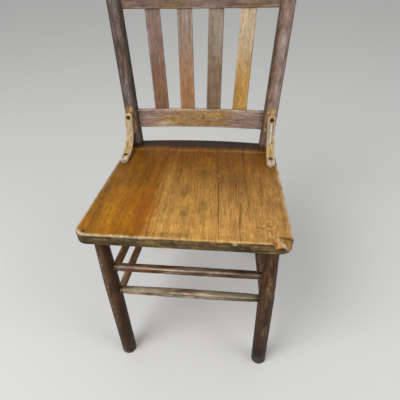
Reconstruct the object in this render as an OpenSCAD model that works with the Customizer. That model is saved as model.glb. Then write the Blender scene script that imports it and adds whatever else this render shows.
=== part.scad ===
// Slat-back kitchen chair: glued plank seat, round raked posts, bowed rails,
// four flat slats, turned legs, swelled stretchers and two bent hip braces.
// The origin is the middle of the chair's box on the floor. +Z is up and the front
// edge of the seat faces -Y. Left and right are as seen from the front.

/* [Seat] */
// Height of the seat's top face above the floor
seat_h = 445; // [380:5:540]
// Thickness of the seat boards
seat_t = 25; // [22:1:32]
// Width of the seat along its front edge
seat_front_w = 422; // [350:2:510]
// Width of the seat across its rear corners
seat_rear_w = 366; // [300:2:440]
// Depth of the seat along its sides
seat_side_d = 363; // [300:1:440]
// How far the rear edge bows out behind the corners
seat_rear_bow = 12; // [6:1:20]
// Radius of the two front corners in plan
front_corner_r = 24; // [10:1:40]
// Radius of the two rear corners in plan
rear_corner_r = 12; // [6:1:16]
// Radius of the worn roll along the front top edge
front_roll_r = 6; // [2:0.5:9]
// Radius of the roll along the side top edges
side_roll_r = 4; // [2:0.5:8]
// Radius of the roll along the bottom edges
under_roll_r = 3; // [1:0.5:6]
// Depth of the shallow hollow in the seat's top
dish_d = 3; // [1:0.5:4]
// Radius of the shallow hollow
dish_r = 158; // [120:1:170]
// Left glue line: distance left of the middle at the front edge
left_joint_front = 68.5; // [50:0.5:90]
// Left glue line: distance left of the middle at the rear edge
left_joint_rear = 75; // [50:0.5:90]
// Right glue line: distance right of the middle at the front edge
right_joint_front = 71; // [50:0.5:90]
// Right glue line: distance right of the middle at the rear edge
right_joint_rear = 44.5; // [30:0.5:90]

/* [Legs] */
// Diameter of a leg at the floor
leg_foot_dia = 36; // [30:0.5:42]
// Diameter of a leg at its fullest
leg_full_dia = 36; // [32:0.5:42]
// Diameter of a leg where it meets the seat
leg_top_dia = 29; // [26:0.5:36]
// Distance of the fullest place below the seat's underside
leg_full_drop = 190; // [150:5:230]
// Width of the worn bevel round a foot
foot_bevel = 3; // [1:0.5:5]
// Inset of a front leg's top from the side of the seat's front edge
front_leg_inset_x = 35.5; // [32:0.5:50]
// Inset of a front leg's top from the seat's front edge
front_leg_inset_y = 42; // [36:0.5:60]
// How far a front foot stands inwards of the leg's top
front_foot_in = 4.5; // [-10:0.5:10]
// How far a front foot stands forwards of the leg's top
front_foot_fwd = 9; // [0:0.5:20]
// Inset of a rear leg's top from the seat's rear corner, sideways
rear_leg_inset_x = 41; // [38:0.5:60]
// Inset of a rear leg's top from the seat's rear corner, forwards
rear_leg_inset_y = 45; // [42:0.5:70]
// How far a rear foot stands outwards of the leg's top
rear_foot_out = 18; // [0:1:30]
// How far a rear foot stands behind the leg's top
rear_foot_back = 110; // [60:1:130]
// Diameter of the tenon at the top of a leg
leg_tenon_dia = 22; // [18:0.5:24]
// Length of the tenon at the top of a leg
leg_tenon_len = 15; // [10:0.5:16]

/* [Stretchers] */
// Height of the upper front stretcher
upper_front_h = 315; // [300:1:330]
// Height of the lower front stretcher
lower_front_h = 240; // [230:1:250]
// Height of the upper side stretchers
upper_side_h = 278; // [265:1:290]
// Height of the lower side stretchers
lower_side_h = 201; // [180:1:210]
// Height of the rear stretcher
rear_h = 240; // [230:1:250]
// Diameter of a stretcher near its ends
stretcher_end_dia = 18; // [17:0.5:22]
// Diameter of the upper front and side stretchers at the middle
stretcher_mid_dia = 19; // [18:0.5:24]
// Diameter of the lower front stretcher at the middle
lower_front_mid_dia = 21; // [18:0.5:24]
// Diameter of the tenon at a stretcher's end
stretcher_tenon_dia = 15.5; // [12:0.5:16]
// Depth that a stretcher's tenon reaches into a leg
stretcher_tenon_len = 14; // [10:0.5:15]
// Length of tenon left bare beside a leg, so that the swelling clears a leaning leg
stretcher_bare_len = 3; // [3:0.5:6]
// Length over which a stretcher narrows to its tenon
stretcher_neck_len = 8; // [4:0.5:16]

/* [Back] */
// Diameter of a back post
post_dia = 34.5; // [30:0.5:42]
// Height of the post's top above the seat, along the back
post_len = 422; // [380:1:480]
// Radius of the rounded edge at a post's top
post_round_r = 9; // [3:0.5:12]
// Inset of a post's foot from the seat's rear corner, sideways
post_inset_x = 18.5; // [17:0.5:30]
// Inset of a post's foot from the seat's rear corner, forwards
post_inset_y = 14; // [13:0.5:24]
// Backward lean of the back, in degrees
rake = 14; // [8:0.5:18]
// Outward lean of each post, in degrees
splay = 5; // [2:0.5:7]
// Diameter of the tenon at a post's foot
post_tenon_dia = 18; // [14:0.5:20]
// Length of the tenon at a post's foot
post_tenon_len = 17; // [12:0.5:17]
// Height of the lower rail's bottom edge above the seat, along the back
rail_low = 43; // [36:1:60]
// Width of the lower rail from edge to edge
rail_w = 45; // [36:1:56]
// Thickness of the lower rail
rail_t = 15; // [13:0.5:19]
// How far the lower rail bows backwards
rail_bow = 18.8; // [10:0.2:26]
// Height of the crest rail's bottom edge above the seat, along the back
crest_low = 311; // [290:1:330]
// Width of the crest rail from edge to edge
crest_w = 84; // [60:1:95]
// Thickness of the crest rail
crest_t = 16; // [14:0.5:19]
// How far the crest rail bows backwards
crest_bow = 23.6; // [12:0.2:30]
// Depth that a rail's tenon reaches into a post
rail_tenon_len = 14; // [8:0.5:16]
// Thickness of a rail's tenon
rail_tenon_t = 8; // [6:0.5:11]
// Step from a rail's edge to its tenon's edge
rail_shoulder = 6; // [3:0.5:9]

/* [Slats] */
// Width of a slat
slat_w = 35; // [28:0.5:42]
// Thickness of a slat
slat_t = 9; // [7:0.5:10]
// Centre distance of the slats at the lower rail
slat_pitch_low = 64.3; // [52:0.1:72]
// Centre distance of the slats at the crest rail
slat_pitch_high = 73.3; // [56:0.1:82]
// Depth that a slat's end reaches into a rail
slat_tenon_len = 10; // [6:0.5:14]

/* [Hip braces] */
// Width of a hip brace
brace_w = 19; // [16:0.5:23]
// Thickness of a hip brace
brace_t = 9; // [7:0.5:11]
// Distance of a brace's centre line outwards of its post's foot
brace_out = 10.5; // [6:0.5:11]
// Radius of the brace's concave face
brace_bend_r = 57; // [50:1:66]
// Length of a brace's flat foot on the seat
brace_foot_len = 30; // [28:0.5:36]
// Length of a brace's straight top on the post
brace_top_len = 35; // [30:0.5:40]
// Depth that a brace is let into its post
brace_let_in = 2; // [1:0.5:3]
// Distance of a brace's upper screw from its rounded top end
upper_screw_from_end = 12; // [10:0.5:14]
// Distance of a brace's lower screw from its rounded foot end
lower_screw_from_end = 27; // [24:0.5:30]
// Diameter of a screw's head
screw_head_dia = 9; // [7.5:0.5:11]
// Diameter of a screw's shank
screw_shank_dia = 4; // [3:0.5:5]
// Length of a screw
screw_len = 25; // [20:1:27]
// Depth of the countersunk part of a screw's head
screw_head_h = 3; // [2:0.5:4]
// Depth of a screw's head below the brace's face
screw_sink = 1; // [0.5:0.1:1.5]
// Width of the slot in a screw's head
screw_slot_w = 1.2; // [0.8:0.1:1.6]

/* [Fits] */
// Gap between a glued tenon and the wall of its socket
glue_gap = 0.1; // [0.05:0.05:0.3]
// Gap between a tenon's end and the bottom of its socket
end_gap = 0.6; // [0.3:0.1:1.2]
// Gap between a screw and its hole
screw_gap = 0.1; // [0.05:0.05:0.3]

/* [Hidden] */

// Circle resolutions: small round parts, and arcs of a large radius.
round_fn = 64;
arc_fn = 720;
// Steps of a curved outline that is drawn with straight strokes.
curve_steps = 10;
// How far a cutting shape reaches past what it cuts.
past = 1;
far = 900;

// Plan of the seat, with its front edge on y = 0.
front_half = seat_front_w / 2;
rear_half = seat_rear_w / 2;
side_slant = atan((front_half - rear_half) / seat_side_d);
seat_under = seat_h - seat_t;
rear_arc_r = (rear_half * rear_half + seat_rear_bow * seat_rear_bow) / (2 * seat_rear_bow);
dish_y = seat_side_d / 2 + 6;

// Leg tops lie on the seat's underside, and feet on the floor.
front_top = [front_half - front_leg_inset_x, front_leg_inset_y, seat_under];
front_foot = [front_top[0] - front_foot_in, front_top[1] - front_foot_fwd, 0];
rear_top = [rear_half - rear_leg_inset_x, seat_side_d - rear_leg_inset_y, seat_under];
rear_foot = [rear_top[0] + rear_foot_out, rear_top[1] + rear_foot_back, 0];

// Feet of the posts on the seat's top face.
post_r = post_dia / 2;
post_x = rear_half - post_inset_x;
post_y = seat_side_d - post_inset_y;

// The depth of the whole chair reaches back to the crest rail's middle or the posts' tops.
post_lean_y = cos(splay) * sin(rake);
post_back_y = post_y + (post_len - post_round_r) * post_lean_y
    + (post_r - post_round_r) * sqrt(1 - post_lean_y * post_lean_y) + post_round_r;
crest_back_y = post_y + (crest_bow + crest_t / 2) * cos(rake) + (crest_low + crest_w) * sin(rake);
overall_depth = max(post_back_y, crest_back_y);

// Half the distance between the posts' axes at a height along the back.
function half_span(along) = post_x + along * tan(splay);
function arc_radius(half, bow) = (half * half + bow * bow) / (2 * bow);
rail_mid = rail_low + rail_w / 2;
crest_mid = crest_low + crest_w / 2;
rail_r = arc_radius(half_span(rail_mid), rail_bow);
crest_r = arc_radius(half_span(crest_mid), crest_bow);

// Offset of a bent rail's centre line behind the plane of the posts.
function bow_at(x, radius, bow) = bow - radius + sqrt(radius * radius - x * x);

// The brace's faces on the post, as distances behind the plane of the posts' axes.
brace_x = post_x + brace_out;
brace_back = -(post_r - brace_let_in);
brace_front = brace_back - brace_t;
brace_turn = 90 - rake;
brace_corner_along = (brace_t + brace_front * sin(rake)) / cos(rake);
brace_corner_y = post_y + brace_front * cos(rake) + brace_corner_along * sin(rake);
brace_tangent = brace_bend_r * tan(brace_turn / 2);
brace_flat_end = brace_corner_y - brace_tangent;
brace_tip_y = brace_flat_end - brace_foot_len;
brace_top_along = brace_corner_along + brace_tangent + brace_top_len;

smooth_step = function(t) t * t * (3 - 2 * t);

// ---- Frames ----

// Moves the seat-edge frame to the middle of the chair's box.
module placed() {
    translate([0, -overall_depth / 2, 0]) children();
}

// The raked frame of the back: its origin is midway between the posts' feet.
module back_frame() {
    translate([0, post_y, seat_h]) rotate([-rake, 0, 0]) children();
}

// The frame of the right post, with Z along its axis.
module post_frame() {
    back_frame() translate([post_x, 0, 0]) rotate([0, splay, 0]) children();
}

// Puts round children with their Z axis on the line from one point towards another.
module on_line(from, to) {
    d = to - from;
    translate(from) rotate([0, acos(d[2] / norm(d)), atan2(d[1], d[0])]) rotate([0, 0, 45]) children();
}

module on_left() {
    mirror([1, 0, 0]) children();
}

// ---- Seat ----

function arc_points(cx, cy, r, a0, a1, steps = curve_steps) =
    [for (i = [0 : steps]) let (a = a0 + (a1 - a0) * i / steps)
        [cx + r * cos(a), cy + r * sin(a)]];

// Plan outline of the seat: straight sides, a bowed rear edge and round corners.
module seat_outline() {
    cx = front_half - front_corner_r * (1 + sin(side_slant)) / cos(side_slant);
    // The rear corner's circle touches the slanted side and the bowed rear edge.
    arc_y = seat_side_d + seat_rear_bow - rear_arc_r;
    reach = rear_arc_r - rear_corner_r;
    slope = tan(side_slant);
    base = front_half - rear_corner_r / cos(side_slant) - arc_y * slope;
    up = (base * slope + sqrt(reach * reach * (1 + slope * slope) - base * base)) / (1 + slope * slope);
    rx = base - up * slope;
    ry = arc_y + up;
    rear_a = atan2(rx, up);
    right = concat(
        arc_points(cx, front_corner_r, front_corner_r, -90, side_slant),
        arc_points(rx, ry, rear_corner_r, side_slant, 90 - rear_a));
    rear = [for (i = [1 : 2 * curve_steps - 1]) let (a = rear_a * (1 - i / curve_steps))
        [rear_arc_r * sin(a), arc_y + rear_arc_r * cos(a)]];
    left = [for (i = [len(right) - 1 : -1 : 0]) [-right[i][0], right[i][1]]];
    polygon(concat(right, rear, left));
}

// Cross-section of a wide plate whose right-hand edge at x = 0 has a rolled top and bottom.
module rolled_section(top_roll) {
    polygon(concat([[-far, seat_t], [-far, 0]],
        arc_points(-under_roll_r, under_roll_r, under_roll_r, -90, 0),
        arc_points(-top_roll, seat_t - top_roll, top_roll, 0, 90)));
}

// Rolls the front edge.
module front_section() {
    translate([-far / 2, 0, seat_under]) rotate([90, 0, 90]) linear_extrude(far)
        mirror([1, 0]) rolled_section(front_roll_r);
}

// Rolls the slanted right-hand edge.
module side_section() {
    translate([front_half, 0, seat_under]) rotate([0, 0, side_slant])
        translate([0, far / 2, 0]) rotate([90, 0, 0]) linear_extrude(far) rolled_section(side_roll_r);
}

// The shallow hollow, deepest at its middle and easing out at its rim.
module dish() {
    depth = function(t) dish_d * (1 - t * t) * (1 - t * t);
    rim = [for (i = [curve_steps : -1 : 0]) let (t = i / curve_steps) [dish_r * t, -depth(t)]];
    translate([0, dish_y, seat_h]) rotate_extrude($fn = round_fn)
        polygon(concat([[0, past], [dish_r, past]], rim));
}

module leg_socket(top, foot) {
    on_line(top, 2 * top - foot) translate([0, 0, -leg_tenon_len])
        cylinder(r = leg_tenon_dia / 2 + glue_gap, h = 2 * leg_tenon_len + end_gap, $fn = round_fn);
}

module post_socket() {
    depth = post_tenon_len + end_gap;
    post_frame() translate([0, 0, -depth])
        cylinder(r = post_tenon_dia / 2 + glue_gap, h = depth + post_tenon_len, $fn = round_fn);
}

// The sockets and screw hole on the right-hand side of the seat.
module right_side_holes() {
    leg_socket(front_top, front_foot);
    leg_socket(rear_top, rear_foot);
    post_socket();
    lower_screw_place() screw_hole();
}

// The whole seat, before it is divided into its boards.
module seat() {
    difference() {
        intersection() {
            translate([0, 0, seat_under]) linear_extrude(seat_t) seat_outline();
            front_section();
            side_section();
            on_left() side_section();
        }
        dish();
        right_side_holes();
        on_left() right_side_holes();
    }
}

// The strip of the seat between two glue lines, given as x at the front and the rear.
module board(from, to) {
    rear_y = seat_side_d + seat_rear_bow;
    edge = function(line, y) line[0] + (line[1] - line[0]) * y / rear_y;
    low_y = -past;
    high_y = rear_y + past;
    placed() intersection() {
        seat();
        translate([0, 0, seat_under - past]) linear_extrude(seat_t + 2 * past)
            polygon([[edge(from, low_y), low_y], [edge(to, low_y), low_y],
                [edge(to, high_y), high_y], [edge(from, high_y), high_y]]);
    }
}

left_joint = [-left_joint_front, -left_joint_rear];
right_joint = [right_joint_front, right_joint_rear];

module left_seat_board() {
    color([0.55, 0.32, 0.12]) board([-far / 2, -far / 2], left_joint);
}

module middle_seat_board() {
    color([0.58, 0.38, 0.17]) board(left_joint, right_joint);
}

module right_seat_board() {
    color([0.52, 0.35, 0.17]) board(right_joint, [far / 2, far / 2]);
}

// ---- Legs ----

// Radius of a leg at a distance along its axis from the foot.
function leg_radius(s, length) =
    let (full = length - leg_full_drop)
    s < full
        ? (leg_foot_dia + (leg_full_dia - leg_foot_dia) * smooth_step(s / full)) / 2
        : (leg_full_dia - (leg_full_dia - leg_top_dia) * smooth_step(min(1, (s - full) / leg_full_drop))) / 2;

module leg_turning(length) {
    foot_r = leg_foot_dia / 2;
    full = length - leg_full_drop;
    shaft = [for (i = [0 : curve_steps]) let (s = full * i / curve_steps) [leg_radius(s, length), s]];
    neck = [for (i = [1 : curve_steps]) let (s = full + leg_full_drop * i / curve_steps)
        [leg_radius(s, length), s]];
    over = length + leg_top_dia / 2;
    rotate_extrude($fn = round_fn) polygon(concat(
        [[0, -foot_r], [foot_r, -foot_r]], shaft, neck, [[leg_top_dia / 2, over], [0, over]]));
}

// A leg cut flat on the floor and under the seat, with its tenon above.
module leg(top, foot) {
    length = norm(top - foot);
    foot_r = leg_foot_dia / 2 - foot_bevel;
    intersection() {
        on_line(foot, top) leg_turning(length);
        translate(foot) cylinder(r1 = foot_r, r2 = foot_r + seat_under, h = seat_under, $fn = round_fn);
    }
    on_line(foot, top) translate([0, 0, length - leg_tenon_len])
        cylinder(d = leg_tenon_dia, h = 2 * leg_tenon_len, $fn = round_fn);
}

// Point on a leg's axis at a height above the floor.
function leg_point(top, foot, h) = foot + (top - foot) * h / seat_under;
function leg_radius_at(top, foot, h) = leg_radius(norm(top - foot) * h / seat_under, norm(top - foot));
function on_other_side(p) = [-p[0], p[1], p[2]];

// Blind socket in the leg at one point of its axis, drilled towards another point.
module stretcher_socket(at, towards, leg_r) {
    bottom = leg_r - stretcher_tenon_len - end_gap;
    on_line(at, towards) translate([0, 0, bottom])
        cylinder(r = stretcher_tenon_dia / 2 + glue_gap, h = 2 * leg_r, $fn = round_fn);
}

module front_leg() {
    difference() {
        leg(front_top, front_foot);
        for (h = [upper_front_h, lower_front_h]) {
            p = leg_point(front_top, front_foot, h);
            stretcher_socket(p, on_other_side(p), leg_radius_at(front_top, front_foot, h));
        }
        for (h = [upper_side_h, lower_side_h])
            stretcher_socket(leg_point(front_top, front_foot, h), leg_point(rear_top, rear_foot, h),
                leg_radius_at(front_top, front_foot, h));
    }
}

module rear_leg() {
    back = leg_point(rear_top, rear_foot, rear_h);
    difference() {
        leg(rear_top, rear_foot);
        stretcher_socket(back, on_other_side(back), leg_radius_at(rear_top, rear_foot, rear_h));
        for (h = [upper_side_h, lower_side_h])
            stretcher_socket(leg_point(rear_top, rear_foot, h), leg_point(front_top, front_foot, h),
                leg_radius_at(rear_top, rear_foot, h));
    }
}

leg_color = [0.30, 0.17, 0.10];

module left_front_leg() {
    color(leg_color) placed() on_left() front_leg();
}

module right_front_leg() {
    color(leg_color) placed() front_leg();
}

module left_rear_leg() {
    color(leg_color) placed() on_left() rear_leg();
}

module right_rear_leg() {
    color(leg_color) placed() rear_leg();
}

// ---- Stretchers ----

// A swelled round stretcher between two leg axes, with a tenon at each end.
module stretcher(from, to, from_leg_r, to_leg_r, mid_dia) {
    length = norm(to - from);
    tenon_r = stretcher_tenon_dia / 2;
    end_r = stretcher_end_dia / 2;
    low = from_leg_r + stretcher_bare_len;
    high = length - to_leg_r - stretcher_bare_len;
    reach = stretcher_tenon_len + stretcher_bare_len;
    neck = [for (i = [0 : 6]) let (t = i / 6)
        [tenon_r + (end_r - tenon_r) * smooth_step(t), stretcher_neck_len * t]];
    swell_low = low + stretcher_neck_len;
    swell_high = high - stretcher_neck_len;
    swell = [for (i = [1 : 2 * curve_steps - 1]) let (t = i / (2 * curve_steps))
        [end_r + (mid_dia / 2 - end_r) * sin(180 * t), swell_low + (swell_high - swell_low) * t]];
    on_line(from, to) rotate_extrude($fn = round_fn) polygon(concat(
        [[0, low - reach], [tenon_r, low - reach]],
        [for (q = neck) [q[0], low + q[1]]],
        swell,
        [for (i = [6 : -1 : 0]) [neck[i][0], high - neck[i][1]]],
        [[tenon_r, high + reach], [0, high + reach]]));
}

module front_stretcher(h, mid_dia) {
    p = leg_point(front_top, front_foot, h);
    r = leg_radius_at(front_top, front_foot, h);
    stretcher(on_other_side(p), p, r, r, mid_dia);
}

module side_stretcher(h) {
    stretcher(leg_point(front_top, front_foot, h), leg_point(rear_top, rear_foot, h),
        leg_radius_at(front_top, front_foot, h), leg_radius_at(rear_top, rear_foot, h), stretcher_mid_dia);
}

module upper_front_stretcher() {
    color([0.42, 0.24, 0.15]) placed() front_stretcher(upper_front_h, stretcher_mid_dia);
}

module lower_front_stretcher() {
    color([0.50, 0.38, 0.25]) placed() front_stretcher(lower_front_h, lower_front_mid_dia);
}

module rear_stretcher() {
    p = leg_point(rear_top, rear_foot, rear_h);
    r = leg_radius_at(rear_top, rear_foot, rear_h);
    color([0.36, 0.21, 0.13]) placed() stretcher(on_other_side(p), p, r, r, stretcher_mid_dia);
}

side_color = [0.38, 0.22, 0.13];

module left_upper_side_stretcher() {
    color(side_color) placed() on_left() side_stretcher(upper_side_h);
}

module left_lower_side_stretcher() {
    color(side_color) placed() on_left() side_stretcher(lower_side_h);
}

module right_upper_side_stretcher() {
    color(side_color) placed() side_stretcher(upper_side_h);
}

module right_lower_side_stretcher() {
    color(side_color) placed() side_stretcher(lower_side_h);
}

// ---- Back ----

// A flat board bent to an arc, in the back's frame.
module bent_board(radius, bow, thick, low, high, half_len) {
    translate([0, 0, low]) linear_extrude(high - low) intersection() {
        translate([0, bow - radius]) difference() {
            circle(r = radius + thick / 2, $fn = arc_fn);
            circle(r = radius - thick / 2, $fn = arc_fn);
        }
        translate([-half_len, -3 * thick]) square([2 * half_len, bow + 6 * thick]);
    }
}

// Half the length of a rail from tenon end to tenon end.
function rail_half_len(mid) = half_span(mid) - post_r + rail_tenon_len;

// The part of a rail that enters the posts, or with a gap the space that it needs.
module rail_tenon(radius, bow, low, high, mid, gap, gap_end) {
    bent_board(radius, bow, rail_tenon_t + 2 * gap, low + rail_shoulder - gap,
        high - rail_shoulder + gap, rail_half_len(mid) + gap_end);
}

module lower_rail_tenon(gap, gap_end) {
    rail_tenon(rail_r, rail_bow, rail_low, rail_low + rail_w, rail_mid, gap, gap_end);
}

module crest_rail_tenon(gap, gap_end) {
    rail_tenon(crest_r, crest_bow, crest_low, crest_low + crest_w, crest_mid, gap, gap_end);
}

// The round outside of the right post, as a tool that shapes a rail's shoulder.
module post_cylinder() {
    post_frame() translate([0, 0, -past]) cylinder(r = post_r, h = post_len, $fn = round_fn);
}

module post_turning() {
    rotate_extrude($fn = round_fn) union() {
        translate([0, -post_r]) square([post_r, post_len + post_r - post_round_r]);
        translate([0, -post_r]) square([post_r - post_round_r, post_len + post_r]);
        intersection() {
            translate([post_r - post_round_r, post_len - post_round_r]) circle(r = post_round_r, $fn = round_fn);
            square([post_r, post_len]);
        }
    }
}

module post() {
    difference() {
        post_frame() post_turning();
        translate([-far / 2, -far / 2, seat_h - far]) cube(far);
        back_frame() {
            lower_rail_tenon(glue_gap, end_gap);
            crest_rail_tenon(glue_gap, end_gap);
        }
        brace_strip(4 * post_r);
        upper_screw_place() screw_hole();
    }
    post_frame() translate([0, 0, -post_tenon_len])
        cylinder(d = post_tenon_dia, h = 2 * post_tenon_len, $fn = round_fn);
}

module rail(radius, bow, thick, low, high, mid) {
    difference() {
        back_frame() bent_board(radius, bow, thick, low, high, half_span(mid));
        post_cylinder();
        on_left() post_cylinder();
        for (i = [0 : 3]) slat_bar(i, glue_gap, end_gap);
    }
}

// One slat, numbered from the left, or with a gap the space that it needs.
module slat_bar(i, gap, gap_end) {
    low_x = (i - 1.5) * slat_pitch_low;
    high_x = (i - 1.5) * slat_pitch_high;
    low = [low_x, bow_at(low_x, rail_r, rail_bow), rail_low + rail_w];
    high = [high_x, bow_at(high_x, crest_r, crest_bow), crest_low];
    d = high - low;
    reach = slat_tenon_len + gap_end;
    turn = (asin(low_x / rail_r) + asin(high_x / crest_r)) / 2;
    back_frame() translate(low)
        rotate([-atan(d[1] / norm([d[0], d[2]])), atan(d[0] / d[2]), 0]) rotate([0, 0, -turn])
            translate([-slat_w / 2 - gap, -slat_t / 2 - gap, -reach])
                cube([slat_w + 2 * gap, slat_t + 2 * gap, norm(d) + 2 * reach]);
}

module lower_rail() {
    color([0.40, 0.30, 0.27]) placed() {
        rail(rail_r, rail_bow, rail_t, rail_low, rail_low + rail_w, rail_mid);
        back_frame() rail_tenon_ends() lower_rail_tenon(0, 0);
    }
}

module crest_rail() {
    color([0.38, 0.27, 0.22]) placed() {
        rail(crest_r, crest_bow, crest_t, crest_low, crest_low + crest_w, crest_mid);
        back_frame() rail_tenon_ends() crest_rail_tenon(0, 0);
    }
}

// Keeps only the ends of a tenon board, clear of the slats' slots.
module rail_tenon_ends() {
    clear_x = 1.5 * slat_pitch_high + slat_w;
    difference() {
        children();
        translate([-clear_x, -far / 2, 0]) cube([2 * clear_x, far, far]);
    }
}

post_color = [0.32, 0.20, 0.13];

module left_post() {
    color(post_color) placed() on_left() post();
}

module right_post() {
    color(post_color) placed() post();
}

module slat_1() {
    color([0.38, 0.25, 0.22]) placed() slat_bar(0, 0, 0);
}

module slat_2() {
    color([0.45, 0.28, 0.18]) placed() slat_bar(1, 0, 0);
}

module slat_3() {
    color([0.42, 0.31, 0.23]) placed() slat_bar(2, 0, 0);
}

module slat_4() {
    color([0.56, 0.41, 0.24]) placed() slat_bar(3, 0, 0);
}

// ---- Hip braces ----

// Side outline of a bent brace: a flat foot, an arc and a straight top.
module brace_outline() {
    outer_r = brace_bend_r + brace_t;
    centre = [brace_flat_end, seat_h + outer_r];
    rise = brace_top_len * [sin(rake), cos(rake)];
    inner = arc_points(centre[0], centre[1], brace_bend_r, -90, -rake, 2 * curve_steps);
    outer = arc_points(centre[0], centre[1], outer_r, -rake, -90, 2 * curve_steps);
    polygon(concat(
        [[brace_tip_y, seat_h + brace_t]], inner, [inner[2 * curve_steps] + rise, outer[0] + rise],
        outer, [[brace_tip_y, seat_h]]));
}

module brace_strip(width) {
    translate([brace_x - width / 2, 0, 0]) rotate([90, 0, 90]) linear_extrude(width) brace_outline();
}

// A slab with one half-round end: the end's tip is at the origin and the slab runs along +Y.
module round_ended_slab() {
    r = brace_w / 2;
    translate([0, r, -far / 2]) cylinder(r = r, h = far, $fn = round_fn);
    translate([-r, r, -far / 2]) cube([brace_w, far, far]);
}

module hip_brace() {
    difference() {
        intersection() {
            brace_strip(brace_w);
            translate([brace_x, brace_tip_y, seat_h]) round_ended_slab();
            back_frame() translate([brace_x, 0, brace_top_along]) rotate([-90, 0, 0]) round_ended_slab();
        }
        lower_screw_place() screw_hole();
        upper_screw_place() screw_hole();
    }
}

brace_color = [0.68, 0.55, 0.34];

module left_hip_brace() {
    color(brace_color) placed() on_left() hip_brace();
}

module right_hip_brace() {
    color(brace_color) placed() hip_brace();
}

// Places a screw with its head at the origin, pointing along -Z.
module lower_screw_place() {
    translate([brace_x, brace_tip_y + lower_screw_from_end, seat_h + brace_t - screw_sink]) children();
}

module upper_screw_place() {
    back_frame() translate([brace_x, brace_front + screw_sink, brace_top_along - upper_screw_from_end])
        rotate([90, 0, 0]) children();
}

module screw_body(gap) {
    head_r = screw_head_dia / 2 + gap;
    shank_r = screw_shank_dia / 2 + gap;
    translate([0, 0, -screw_head_h]) cylinder(r1 = shank_r, r2 = head_r, h = screw_head_h, $fn = round_fn);
    translate([0, 0, -screw_len - gap]) cylinder(r = shank_r, h = screw_len + gap - screw_head_h, $fn = round_fn);
}

module screw_hole() {
    screw_body(screw_gap);
    cylinder(r = screw_head_dia / 2 + screw_gap, h = screw_sink + past, $fn = round_fn);
}

module screw() {
    difference() {
        screw_body(0);
        translate([-screw_head_dia, -screw_slot_w / 2, -screw_slot_w])
            cube([2 * screw_head_dia, screw_slot_w, 2 * screw_slot_w]);
    }
}

screw_color = [0.25, 0.22, 0.20];

module left_brace_upper_screw() {
    color(screw_color) placed() on_left() upper_screw_place() screw();
}

module left_brace_lower_screw() {
    color(screw_color) placed() on_left() lower_screw_place() screw();
}

module right_brace_upper_screw() {
    color(screw_color) placed() upper_screw_place() screw();
}

module right_brace_lower_screw() {
    color(screw_color) placed() lower_screw_place() screw();
}

left_seat_board();
middle_seat_board();
right_seat_board();
left_front_leg();
right_front_leg();
left_rear_leg();
right_rear_leg();
upper_front_stretcher();
lower_front_stretcher();
rear_stretcher();
left_upper_side_stretcher();
left_lower_side_stretcher();
right_upper_side_stretcher();
right_lower_side_stretcher();
left_post();
right_post();
lower_rail();
crest_rail();
slat_1();
slat_2();
slat_3();
slat_4();
left_hip_brace();
right_hip_brace();
left_brace_upper_screw();
left_brace_lower_screw();
right_brace_upper_screw();
right_brace_lower_screw();
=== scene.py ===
"""An old slat-back kitchen chair: its worn wood, varnish and steel, built round the measured frame.

All lengths are in metres in the frame's own axes: +Z up, the front edge of the seat faces -Y, and left and
right are as seen from the front. Every wooden piece is a new skin over its CAD node. The brace screws keep
their CAD shape.
"""

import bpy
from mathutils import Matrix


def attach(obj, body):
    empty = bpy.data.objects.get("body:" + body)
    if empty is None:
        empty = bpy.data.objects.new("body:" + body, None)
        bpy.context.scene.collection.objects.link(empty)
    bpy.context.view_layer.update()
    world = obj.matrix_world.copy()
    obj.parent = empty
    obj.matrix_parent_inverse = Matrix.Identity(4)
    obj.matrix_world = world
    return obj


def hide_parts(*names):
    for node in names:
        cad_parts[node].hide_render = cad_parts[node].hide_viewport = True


bl_info = {
    "name": "Old slat-back kitchen chair",
    "version": (1, 0, 0),
    "blender": (4, 5, 0),
    "location": "3D View > Sidebar > Chair",
    "description": "Builds the worn pieces of a slat-back kitchen chair round its measured frame",
    "category": "Add Mesh",
}

from functools import cache
from math import atan2, cos, pi, radians, sin, tan

import bpy
import numpy as np
from bpy.props import FloatProperty, FloatVectorProperty, PointerProperty
from bpy.types import Operator, Panel, PropertyGroup
from mathutils import Matrix, Vector, geometry, noise

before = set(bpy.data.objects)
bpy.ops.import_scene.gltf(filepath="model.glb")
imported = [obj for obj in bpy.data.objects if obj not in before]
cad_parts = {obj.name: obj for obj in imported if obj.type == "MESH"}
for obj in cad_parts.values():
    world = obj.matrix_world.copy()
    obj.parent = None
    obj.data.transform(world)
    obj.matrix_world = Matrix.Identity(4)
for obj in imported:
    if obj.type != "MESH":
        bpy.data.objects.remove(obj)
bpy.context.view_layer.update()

MM = 0.001
# Corners of a CAD mesh within this distance of a piece's end belong to its end ring.
RING_DEPTH = 0.3 * MM
X_AXIS = np.array((1.0, 0.0, 0.0))
Z_AXIS = np.array((0.0, 0.0, 1.0))
SEAT_BOARDS = ("left_seat_board", "middle_seat_board", "right_seat_board")
SCREWS = (
    "left_brace_upper_screw", "left_brace_lower_screw",
    "right_brace_upper_screw", "right_brace_lower_screw",
)
SIDE_STRETCHERS = (
    "left_upper_side_stretcher", "left_lower_side_stretcher",
    "right_upper_side_stretcher", "right_lower_side_stretcher",
)


# ---- Properties ----


def size_prop(name, description, millimetres):
    """A small length."""
    return FloatProperty(name=name, description=description, default=millimetres * MM, min=0, unit="LENGTH",
                         subtype="DISTANCE", precision=4)


def share_prop(name, description, default):
    """A strength with no unit."""
    return FloatProperty(name=name, description=description, default=default, min=0, max=2, subtype="FACTOR")


def colour_prop(name, description, default):
    """A colour."""
    return FloatVectorProperty(name=name, description=description, default=default, min=0, max=1,
                               size=3, subtype="COLOR")


def place_prop(name, description, metres):
    """A distance that may be either way."""
    return FloatProperty(name=name, description=description, default=metres, unit="LENGTH")


def turn_prop(name, description, angle):
    """An angle in radians."""
    return FloatProperty(name=name, description=description, default=angle, unit="ROTATION")


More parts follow.
